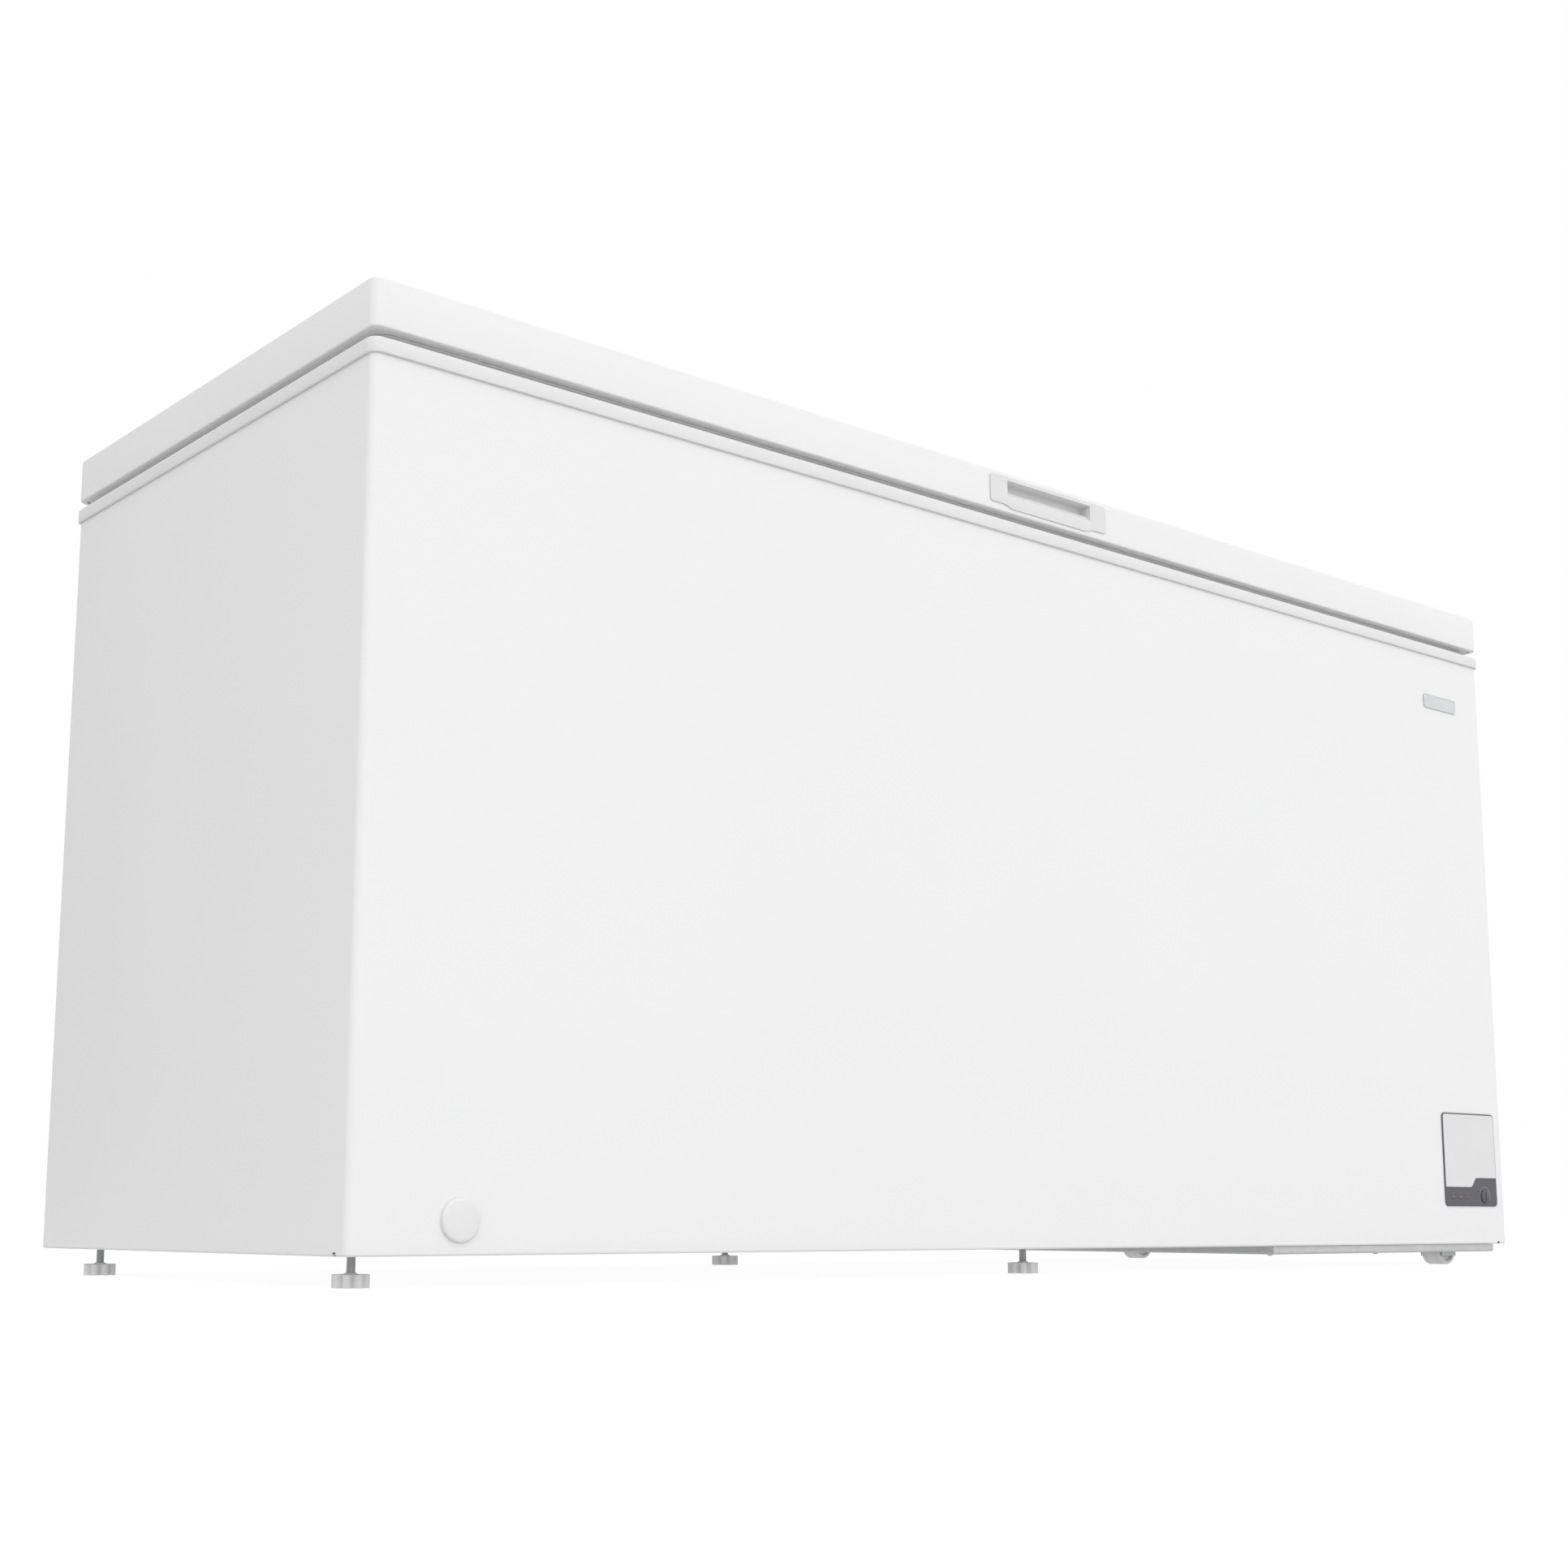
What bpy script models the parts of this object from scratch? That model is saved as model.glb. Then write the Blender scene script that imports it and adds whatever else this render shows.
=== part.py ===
"""Chest freezer with a counterbalanced lid, made as an assembly of separate pieces.

Sizes are in metres. Inside the assembly, x runs from the left side wall, y runs back from
the front wall and z runs up from the underside of the cabinet. The empty "cabinet_corner"
carries that corner to its place, so that the floor is at z = 0 and the whole freezer is
centred on x = 0 and y = 0, with +Z up and the front facing -Y.
"""

import math

import bmesh
import bpy
from mathutils import Matrix, Vector

# ---------------------------------------------------------------- driving dimensions

# Overall cabinet and lid
CABINET_W = 1.679
CABINET_D = 0.610
BODY_H = 0.7537          # underside of the cabinet to the underside of the collar
LID_H = 0.045            # height of the lid's skirt
LID_GAP = 0.0095         # from the collar's top to the skirt's lower edge
LID_OVERHANG = 0.0016
CORNER_R = 0.008         # upright corners of cabinet and lid
FLOOR_GAP = 0.026        # floor to the underside of the cabinet

# Clearances
GAP = 0.0003             # between pieces that touch
PIN_PLAY = 0.0003        # round pins, stems and spigots

# Sheet and walls
SHEET = 0.001            # steel and liner sheet
HEM = 0.012              # return of the wall sheet at the bottom edge
REAR_RETURN = 0.018      # return of the wall sheet round the rear corners
WALL = 0.066             # outside of the cabinet to the inside of the liner
STEP_FOAM = 0.058        # insulation round the machine room

# Machine room at the right, and the step that it makes in the liner
MACHINE_W = 0.444
MACHINE_H = 0.250
LINER_R = 0.015

# Collar
COLLAR_H = 0.0138
COLLAR_PROUD = 0.003
COLLAR_T = 0.003
COLLAR_LIP = 0.0325      # how far the inner lip hangs into the opening
LIP_T = 0.0025
LEDGE_W = 0.008
LEDGE_T = 0.003

# Lid
LID_EDGE_R = 0.003
LID_LINER_T = 0.0015
PLUG_DEPTH = 0.025       # how far the lid's inner panel reaches below the skirt
PLUG_CLEAR = 0.012       # from the collar's lip to the inner panel
GASKET_INSET = 0.0115    # from the skirt's face
GASKET_W = 0.014

# Lid grip
GRIP_W = 0.1845
GRIP_T = 0.0012
GRIP_Z = 0.008           # skirt's lower edge to the grip's lower edge
GRIP_FROM_TOP = 0.006    # grip's upper edge to the lid's top
POCKET_W = 0.1325
POCKET_RISE = 0.0095     # grip's lower edge to the pocket
POCKET_FROM_TOP = 0.004  # pocket to the grip's upper edge
POCKET_DEPTH = 0.022
POCKET_WALL = 0.0018

# Hinges
HINGE_INSET = 0.300      # from each end of the cabinet
HINGE_BACK = 0.0125      # rear wall to the pin
HINGE_RISE = 0.004       # skirt's lower edge to the pin
HINGE_W = 0.060
KNUCKLE_R = 0.0065
KNUCKLE_W = 0.024
PIN_R = 0.003
EAR_T = 0.003
HOUSING_T = 0.0217       # rear wall to the housing's back
HOUSING_H = 0.130
HOUSING_DROP = 0.012     # collar's underside to the housing's top
SPRING_BORE_R = 0.008
SPRING_WIRE = 0.002
LEAF_T = 0.002
LEAF_Z = 0.003           # skirt's lower edge to the leaf's lower edge
LEAF_FROM_TOP = 0.005    # leaf's upper edge to the lid's top

# Control panel
PANEL = 0.116            # square
PANEL_FROM_RIGHT = 0.0205
PANEL_Z = 0.0465
PANEL_R = 0.006
PANEL_T = 0.002
PANEL_RIM = 0.0017       # base plate that shows round the cover
COVER_T = 0.0019
WINDOW_LOW = 0.024       # height of the uncovered strip at the left
WINDOW_HIGH = 0.0355     # and at the right, over the dial
WINDOW_STEP_FROM_RIGHT = 0.0595  # panel's right edge to where the strip starts to rise
WINDOW_STEP_W = 0.014
HOUSE_INSET = 0.008      # panel edge to the housing behind it
HOUSE_DEPTH = 0.042
DIAL_FROM_RIGHT = 0.028
DIAL_Z = 0.0125
DIAL_R = 0.0085
DIAL_SHAFT_R = 0.0025
THERMOSTAT_W = 0.033
THERMOSTAT_D = 0.030
THERMOSTAT_H = 0.045
LENS_R = 0.0022
LENS_X = 0.017
LENS_PITCH = 0.016
LENS_Z = 0.0115

# Badge and drain
BADGE_W = 0.072
BADGE_H = 0.018
BADGE_FROM_RIGHT = 0.057
BADGE_DROP = 0.0527      # collar's underside to the badge's upper edge
DRAIN_Z = 0.029
DRAIN_SIDE_CLEAR = 0.009     # plug's rim to the rounded edge of the liner's floor, at the left
DRAIN_FRONT_CLEAR = 0.014    # and at the front
DRAIN_BORE_R = 0.008
DRAIN_WALL = 0.002
DRAIN_BEND = 0.020
CAP_R = 0.0185
CAP_T = 0.0040
SPIGOT = 0.014
PLUG_R = 0.015
PLUG_T = 0.005

# Feet
FOOT_R = 0.0158
FOOT_H = 0.011
FOOT_RIBS = 14
FOOT_INSET_X = 0.038
FOOT_INSET_Y = 0.058
STEM_R = 0.004
STEM_UP = 0.030          # stem above the cabinet's underside
STEM_BOSS_H = 0.020
STEM_BOSS_R = 0.009
FOOT_TRAVEL = 0.012

# Rollers
ROLLER_R = 0.0185
ROLLER_W = 0.026
ROLLER_FROM_RIGHT = 0.067
ROLLER_PLAY = 0.001
AXLE_R = 0.003
CHEEK_T = 0.0015
CHEEK_W = 0.030
CHEEK_DROP = 0.008       # below the axle
CHEEK_TOP = 0.003        # above the roller

# Base pan under the machine room
PAN_W = 0.455
PAN_FROM_RIGHT = 0.024
PAN_INSET_Y = 0.006
PAN_DROP = 0.0095
PAN_T = 0.0012

# Refrigeration
EVAPORATOR_R = 0.004
EVAPORATOR_PITCH = 0.075
CONDENSER_R = 0.0024
CONDENSER_PITCH = 0.090
POT_R = 0.072
POT_H = 0.165
POT_X = 0.170            # from the machine room's wall
POT_Y = 0.370
MOUNT_R = 0.011
MOUNT_H = 0.014
MOUNT_SPACING_X = 0.150
MOUNT_SPACING_Y = 0.120
POT_PLATE_T = 0.002
DISCHARGE_R = 0.003
SUCTION_R = 0.004
DRIER_R = 0.010
DRIER_H = 0.110

# Vent grilles
GRILLE_Y = 0.150
GRILLE_L = 0.310
GRILLE_Z = 0.050
GRILLE_H = 0.140
GRILLE_EDGE = 0.008
GRILLE_T = 0.0011
GRILLE_SLOTS = 14
REAR_SLOTS = 9
REAR_SLOT_W = 0.200
REAR_SLOT_H = 0.007
REAR_SLOT_PITCH = 0.016
REAR_SLOT_Z = 0.075

# Gland for the mains lead, in the rear panel
GLAND_FROM_RIGHT = 0.060
GLAND_Z = 0.060
GLAND_R = 0.008

# Baskets
BASKET_L = 0.300
BASKET_H = 0.200
BASKET_T = 0.003
BASKET_PLAY = 0.003      # from the ledge to the basket's side
BASKET_END_CLEAR = 0.0152    # end ledge to the basket
BASKET_RIM_PLAY = 0.001  # from the collar's lip to the rim
BASKET_RIM_OUT = 0.002   # how far the rim stands out at the basket's ends

# ---------------------------------------------------------------- derived levels and places

COLLAR_TOP = BODY_H + COLLAR_H
LID_Z0 = COLLAR_TOP + LID_GAP
LID_Z1 = LID_Z0 + LID_H
WALL_TOP = COLLAR_TOP - COLLAR_T - 0.0025
FOAM_TOP = COLLAR_TOP - COLLAR_T - GAP
REAR_FACE = CABINET_D - SHEET - GAP      # outer face of the rear panel
LIP_OUT = WALL + GAP                     # collar's lip, just inside the liner
LIP_IN = LIP_OUT + LIP_T
LIP_R = LINER_R - GAP                    # round the liner's upright corners
MACHINE_X = CABINET_W - MACHINE_W
STEP_X = MACHINE_X - STEP_FOAM - SHEET
STEP_Z = MACHINE_H + SHEET + STEP_FOAM
PANEL_X = CABINET_W - PANEL_FROM_RIGHT - PANEL
PANEL_BACK = -GAP
PANEL_FRONT = PANEL_BACK - PANEL_T
COVER_BACK = PANEL_FRONT - GAP
COVER_FRONT = COVER_BACK - COVER_T
GRIP_H = LID_H - GRIP_Z - GRIP_FROM_TOP
POCKET_H = GRIP_H - POCKET_RISE - POCKET_FROM_TOP
LEAF_H = LID_H - LEAF_Z - LEAF_FROM_TOP
BADGE_Z = BODY_H - BADGE_DROP - BADGE_H
DRAIN_X = WALL + LINER_R + PLUG_R + DRAIN_SIDE_CLEAR
DRAIN_Y = WALL + LINER_R + PLUG_R + DRAIN_FRONT_CLEAR
BASKET_END = LIP_IN + LEDGE_W + BASKET_END_CLEAR
HINGE_Y = CABINET_D + HINGE_BACK
HINGE_Z = LID_Z0 + HINGE_RISE
FRONT_PROUD = -COVER_FRONT
FRONT_Y = -(CABINET_D + HOUSING_T - FRONT_PROUD) / 2
PAN_X1 = CABINET_W - PAN_FROM_RIGHT
PAN_X0 = PAN_X1 - PAN_W
PAN_FLOOR = -PAN_DROP + PAN_T
GLAND_X = CABINET_W - GLAND_FROM_RIGHT
ROLLER_X = CABINET_W - ROLLER_FROM_RIGHT
ROLLER_Z = ROLLER_R - FLOOR_GAP
CHEEK_Y = ROLLER_W / 2 + ROLLER_PLAY
WELL_Y = CHEEK_Y + CHEEK_T + 0.004
COIL_ROOM = 2 * EVAPORATOR_R + 5 * GAP
CONDENSER_ROOM = 2 * CONDENSER_R + 3 * GAP


# ---------------------------------------------------------------- scene and materials

for old in list(bpy.data.objects):
    bpy.data.objects.remove(old, do_unlink=True)

PARTS = bpy.data.collections.new("chest_freezer")
CUTTERS = bpy.data.collections.new("cutters")
for group in (PARTS, CUTTERS):
    bpy.context.scene.collection.children.link(group)


def empty(name, at, parent=None):
    mark = bpy.data.objects.new(name, None)
    mark.empty_display_size = 0.05
    mark.parent = parent
    mark.location = at
    PARTS.objects.link(mark)
    return mark


CORNER = empty("cabinet_corner", (-CABINET_W / 2, FRONT_Y, FLOOR_GAP))
LID_AXIS = empty("lid_hinge_axis", (0, HINGE_Y, HINGE_Z), CORNER)


def material(name, colour, roughness, metallic=0.0):
    made = bpy.data.materials.new(name)
    made.use_nodes = True
    shader = made.node_tree.nodes["Principled BSDF"]
    shader.inputs["Base Color"].default_value = (*colour, 1)
    shader.inputs["Roughness"].default_value = roughness
    shader.inputs["Metallic"].default_value = metallic
    return made


# ---------------------------------------------------------------- making objects


def place(name, mesh, finish=None, at=(0, 0, 0), parent=None, turn=(0, 0, 0)):
    """A part when it has a finish, else a hidden cutter."""
    made = bpy.data.objects.new(name, mesh)
    made.parent = parent or CORNER
    made.location = at
    made.rotation_euler = turn
    if made.parent is LID_AXIS:
        made.location = Vector(at) - LID_AXIS.location
    if finish:
        PARTS.objects.link(made)
        mesh.materials.append(material(name + "_finish", *finish))
    else:
        CUTTERS.objects.link(made)
        made.hide_render = True
        made.display_type = "WIRE"
    return made


def mesh_from(build, name="shape"):
    """A new mesh filled by the function build, with its normals facing out."""
    shape = bmesh.new()
    build(shape)
    bmesh.ops.recalc_face_normals(shape, faces=shape.faces)
    mesh = bpy.data.meshes.new(name)
    shape.to_mesh(mesh)
    shape.free()
    return mesh


def box_mesh(low, high):
    low, high = Vector(low), Vector(high)
    fit = Matrix.Translation((low + high) / 2) @ Matrix.Diagonal((*(high - low), 1))
    return mesh_from(lambda b: bmesh.ops.create_cube(b, matrix=fit))


def rod_mesh(start, end, radius, sides=16, tip_radius=None):
    start, end = Vector(start), Vector(end)
    along = end - start
    turn = along.to_track_quat("Z", "Y").to_matrix().to_4x4()
    place_at = Matrix.Translation((start + end) / 2) @ turn

    def build(b):
        bmesh.ops.create_cone(
            b, cap_ends=True, segments=sides, radius1=radius,
            radius2=radius if tip_radius is None else tip_radius,
            depth=along.length, matrix=place_at,
        )

    return mesh_from(build)


def rounded_rectangle(x0, x1, y0, y1, radius, steps=4):
    points = []
    corners = ((x1 - radius, y0 + radius, -90), (x1 - radius, y1 - radius, 0),
               (x0 + radius, y1 - radius, 90), (x0 + radius, y0 + radius, 180))
    for cx, cy, first in corners:
        for step in range(steps + 1):
            angle = math.radians(first + 90 * step / steps)
            points.append((cx + radius * math.cos(angle), cy + radius * math.sin(angle)))
    return points


def plan(inset, radius=None):
    """Outline of the cabinet seen from above, moved inwards by inset."""
    radius = max(CORNER_R - inset, 0.002) if radius is None else radius
    return rounded_rectangle(inset, CABINET_W - inset, inset, CABINET_D - inset, radius)


TO_AXIS = {
    "Z": Matrix.Identity(4),
    "Y": Matrix(((1, 0, 0, 0), (0, 0, -1, 0), (0, 1, 0, 0), (0, 0, 0, 1))),
    "X": Matrix(((0, 0, 1, 0), (1, 0, 0, 0), (0, 1, 0, 0), (0, 0, 0, 1))),
}


def curve_mesh(curve, weld=0.000001):
    """The mesh of a curve, with its loose caps welded on."""
    holder = bpy.data.objects.new("outline", curve)
    CUTTERS.objects.link(holder)
    bpy.context.view_layer.update()
    graph = bpy.context.evaluated_depsgraph_get()
    mesh = bpy.data.meshes.new_from_object(holder.evaluated_get(graph))
    bpy.data.objects.remove(holder, do_unlink=True)
    shape = bmesh.new()
    shape.from_mesh(mesh)
    bmesh.ops.remove_doubles(shape, verts=shape.verts, dist=weld)
    bmesh.ops.recalc_face_normals(shape, faces=shape.faces)
    shape.to_mesh(mesh)
    shape.free()
    mesh.materials.clear()
    return mesh


def plate_mesh(loops, low, high, axis="Z"):
    """A flat plate from low to high along the axis; loops after the first are holes.

    The outline is given as (x, y) for axis Z, (x, z) for axis Y and (y, z) for axis X.
    """
    curve = bpy.data.curves.new("outline", "CURVE")
    curve.dimensions = "2D"
    curve.fill_mode = "BOTH"
    curve.extrude = (high - low) / 2
    for loop in loops:
        spline = curve.splines.new("POLY")
        spline.points.add(len(loop) - 1)
        for point, (u, v) in zip(spline.points, loop):
            point.co = (u, v, 0, 1)
        spline.use_cyclic_u = True
    mesh = curve_mesh(curve)
    middle = (low + high) / 2
    mesh.transform(Matrix.Translation((0, 0, -middle if axis == "Y" else middle)))
    mesh.transform(TO_AXIS[axis])
    return mesh


def wire_mesh(points, radius, sides=8, closed=False):
    """A round tube along the points, with flat ends."""
    curve = bpy.data.curves.new("wire", "CURVE")
    curve.dimensions = "3D"
    curve.bevel_depth = radius
    curve.bevel_resolution = sides // 2 - 2
    curve.use_fill_caps = not closed
    spline = curve.splines.new("POLY")
    spline.points.add(len(points) - 1)
    for point, place_at in zip(spline.points, points):
        point.co = (*place_at, 1)
    spline.use_cyclic_u = closed
    return curve_mesh(curve)


def turned(name, profile, finish=None, at=(0, 0, 0), turn=(0, 0, 0), sides=24, ring=False):
    """A solid of revolution about its own z axis, from (radius, height) points, top first.

    A ring's profile is closed, so that the solid has a bore.
    """
    count = len(profile)
    edges = [(i, (i + 1) % count) for i in range(count if ring else count - 1)]
    mesh = bpy.data.meshes.new("profile")
    mesh.from_pydata([(r, 0, h) for r, h in profile], edges, [])
    made = place(name, mesh, finish, at, turn=turn)
    spin = made.modifiers.new("turn", "SCREW")
    spin.steps = spin.render_steps = sides
    spin.use_merge_vertices = True
    spin.merge_threshold = 0.00001
    spin.use_smooth_shade = True
    return made


def cut(target, *cutters):
    for cutter in cutters:
        hole = target.modifiers.new(cutter.name, "BOOLEAN")
        hole.operation = "DIFFERENCE"
        hole.object = cutter
    return target


def join(target, *others):
    for other in others:
        weld = target.modifiers.new(other.name, "BOOLEAN")
        weld.operation = "UNION"
        weld.object = other
    return target


def helper(name, mesh):
    return place(name, mesh)


def trim_to_walls(target):
    """Keeps the part of a sheet that fits inside the bent wall sheet, round its corners."""
    room = helper(target.name + "_limit", plate_mesh([plan(SHEET + GAP)], -0.02, WALL_TOP + 0.02))
    kept = target.modifiers.new("walls", "BOOLEAN")
    kept.operation = "INTERSECT"
    kept.object = room
    return target


def round_edges(mesh, keep, radius, segments=3):
    """Rounds the mesh's sharp edges for which keep(first corner, second corner) is true."""
    shape = bmesh.new()
    shape.from_mesh(mesh)
    chosen = [e for e in shape.edges
              if e.calc_face_angle(0) > math.radians(50) and keep(e.verts[0].co, e.verts[1].co)]
    bmesh.ops.bevel(shape, geom=chosen, offset=radius, offset_type="OFFSET", segments=segments,
                    profile=0.5, affect="EDGES", clamp_overlap=True)
    shape.to_mesh(mesh)
    shape.free()
    return mesh


def smooth(made, angle=35):
    made.data.shade_smooth()
    made.data.set_sharp_from_angle(angle=math.radians(angle))
    return made


# ---------------------------------------------------------------- finishes

WHITE_PAINT = ((0.83, 0.83, 0.83), 0.32)
WHITE_PLASTIC = ((0.80, 0.80, 0.80), 0.38)
GRIP_PLASTIC = ((0.68, 0.68, 0.69), 0.40)
COVER_PLASTIC = ((0.72, 0.72, 0.73), 0.42)
DARK_PLASTIC = ((0.10, 0.10, 0.12), 0.45)
GREY_RUBBER = ((0.42, 0.42, 0.43), 0.70)
BLACK_PLASTIC = ((0.03, 0.03, 0.03), 0.50)
ZINC = ((0.55, 0.56, 0.57), 0.42, 1.0)
ALUMINIUM = ((0.78, 0.79, 0.80), 0.35, 1.0)
COPPER = ((0.80, 0.42, 0.28), 0.35, 1.0)
SPRING_STEEL = ((0.45, 0.45, 0.46), 0.35, 1.0)
BLACK_PAINT = ((0.02, 0.02, 0.02), 0.40)
RUBBER = ((0.03, 0.03, 0.03), 0.80)
FOAM = ((0.72, 0.62, 0.38), 0.90)


# ---------------------------------------------------------------- cabinet shell


def make_outer_wrap():
    """Front and side walls in one bent sheet, with a bottom hem and rear returns."""
    wrap = place("outer_wrap", plate_mesh([plan(0), plan(SHEET)], 0, WALL_TOP), WHITE_PAINT)
    hem = helper("wrap_hem", plate_mesh([plan(0.0001), plan(HEM)], 0, SHEET))
    back = helper("wrap_back_opening", box_mesh(
        (REAR_RETURN, CABINET_D - HEM - 0.010, -0.010),
        (CABINET_W - REAR_RETURN, CABINET_D + 0.010, WALL_TOP + 0.010)))
    join(wrap, hem)
    cut(wrap, back)
    house = HOUSE_INSET - GAP
    cut(wrap, helper("panel_opening", box_mesh(
        (PANEL_X + house, -0.010, PANEL_Z + house),
        (PANEL_X + PANEL - house, 0.010, PANEL_Z + PANEL - house))))
    cut(wrap, helper("drain_opening", rod_mesh(
        (DRAIN_X, -0.010, DRAIN_Z), (DRAIN_X, 0.010, DRAIN_Z),
        DRAIN_BORE_R + DRAIN_WALL + 2 * PIN_PLAY, 24)))
    cut(wrap, helper("grille_opening", box_mesh(
        (CABINET_W - 0.010, GRILLE_Y, GRILLE_Z),
        (CABINET_W + 0.010, GRILLE_Y + GRILLE_L, GRILLE_Z + GRILLE_H))))
    # Relief notches of the bottom bend, one on each side of each front corner
    notch_r = 0.004
    for x in (0.020, CABINET_W - 0.020):
        cut(wrap, helper(f"front_notch_{x:.2f}", rod_mesh((x, -0.004, 0), (x, 0.006, 0), notch_r, 12)))
    for side, x in (("left", 0), ("right", CABINET_W)):
        cut(wrap, helper(side + "_notch", rod_mesh(
            (x - 0.005, 0.0195, 0.0004), (x + 0.005, 0.0195, 0.0004), notch_r, 12)))
    return smooth(wrap)


def make_rear_panel():
    """Flat sheet behind the rear returns, louvred over the machine room."""
    panel = place("rear_panel", box_mesh(
        (CORNER_R, REAR_FACE - SHEET, SHEET + GAP),
        (CABINET_W - CORNER_R, REAR_FACE, WALL_TOP)), WHITE_PAINT)
    slot_x = MACHINE_X + (MACHINE_W - REAR_SLOT_W) / 2
    inside, outside = REAR_FACE - 0.02, REAR_FACE + 0.02
    for row in range(REAR_SLOTS):
        low = REAR_SLOT_Z + row * REAR_SLOT_PITCH
        slot = rounded_rectangle(slot_x, slot_x + REAR_SLOT_W, low, low + REAR_SLOT_H, REAR_SLOT_H * 0.3, 1)
        cut(panel, helper(f"rear_slot_{row + 1}", plate_mesh([slot], inside, outside, "Y")))
    cut(panel, helper("gland_opening", rod_mesh(
        (GLAND_X, inside, GLAND_Z), (GLAND_X, outside, GLAND_Z), GLAND_R + PIN_PLAY, 20)))
    return panel


def foot_places():
    ys = {"front": FOOT_INSET_Y, "rear": CABINET_D - FOOT_INSET_Y}
    xs = {"left": FOOT_INSET_X, "middle": CABINET_W / 2}
    return {f"{end}_{side}": (x, y) for end, y in ys.items() for side, x in xs.items()}


def make_bottom_panel():
    """Underside sheet left of the machine room, with a threaded boss for each foot."""
    low = SHEET + GAP
    panel = place("bottom_panel", box_mesh(
        (0, 0, low), (MACHINE_X - GAP, REAR_FACE - SHEET - GAP, low + SHEET)), ZINC)
    trim_to_walls(panel)
    for name, (x, y) in foot_places().items():
        join(panel, helper("boss_" + name, rod_mesh(
            (x, y, low + SHEET / 2), (x, y, low + STEM_BOSS_H), STEM_BOSS_R, 16)))
        cut(panel, helper("boss_bore_" + name, rod_mesh(
            (x, y, -0.01), (x, y, low + STEM_BOSS_H + 0.01), STEM_R + PIN_PLAY, 16)))
    return panel


def make_machine_room_panel():
    """Bent sheet that closes the foam off from the machine room."""
    x0, x1, top = MACHINE_X, CABINET_W, MACHINE_H
    bend = [(x0, SHEET + GAP), (x0 + SHEET, SHEET + GAP), (x0 + SHEET, top), (x1, top),
            (x1, top + SHEET), (x0, top + SHEET)]
    mesh = plate_mesh([bend], 0, REAR_FACE - SHEET - GAP, "Y")
    return trim_to_walls(place("machine_room_panel", mesh, ZINC))


def make_base_pan():
    """Shallow tray that carries the compressor and the rollers."""
    y0, y1 = PAN_INSET_Y, CABINET_D - PAN_INSET_Y
    pan = place("base_pan", round_edges(
        box_mesh((PAN_X0, y0, -PAN_DROP), (PAN_X1, y1, -GAP)),
        lambda a, b: min(a.z, b.z) < -PAN_DROP + 0.001 and max(a.z, b.z) < -PAN_DROP + 0.001,
        0.002, 2), ZINC)
    inside = helper("pan_inside", box_mesh(
        (PAN_X0 + PAN_T, y0 + PAN_T, PAN_FLOOR), (PAN_X1 - PAN_T, y1 - PAN_T, 0.01)))
    cut(pan, inside)
    for name, y in roller_places().items():
        cut(pan, helper("roller_well_" + name, box_mesh(
            (ROLLER_X - ROLLER_R - 0.004, y - WELL_Y, -PAN_DROP - 0.01),
            (ROLLER_X + ROLLER_R + 0.004, y + WELL_Y, PAN_FLOOR + 0.0005))))
    return pan


def roller_places():
    return {"front": FOOT_INSET_Y, "rear": CABINET_D - FOOT_INSET_Y}


# ---------------------------------------------------------------- liner, foam and coils


def stepped_outline(grow, top, floor_grow=None):
    """The liner's inside as (x, z), moved outwards by grow, with its step over the machine room."""
    down = grow if floor_grow is None else floor_grow
    x0, x1 = WALL - grow, CABINET_W - WALL + grow
    return [(x0, WALL - down), (STEP_X + grow, WALL - down), (STEP_X + grow, STEP_Z - down),
            (x1, STEP_Z - down), (x1, top), (x0, top)]


def stepped_box(grow, top, floor_grow=None):
    return plate_mesh([stepped_outline(grow, top, floor_grow)], WALL - grow, CABINET_D - WALL + grow, "Y")


def tank_mesh(grow, top, radius):
    """The liner's inside or outside, with every edge rounded but those of its mouth."""
    return round_edges(stepped_box(grow, top), lambda a, b: min(a.z, b.z) < top - 0.001, radius, 4)


def make_inner_liner():
    """Deep open-topped tank with a step over the machine room."""
    liner = place("inner_liner", tank_mesh(SHEET, WALL_TOP, LINER_R + SHEET), ALUMINIUM)
    cut(liner, helper("liner_inside", tank_mesh(0, WALL_TOP + 0.02, LINER_R)))
    cut(liner, helper("liner_drain_hole", rod_mesh(
        (DRAIN_X, DRAIN_Y, 0), (DRAIN_X, DRAIN_Y, WALL + 0.01), DRAIN_BORE_R + PIN_PLAY, 20)))
    return smooth(liner)


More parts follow.
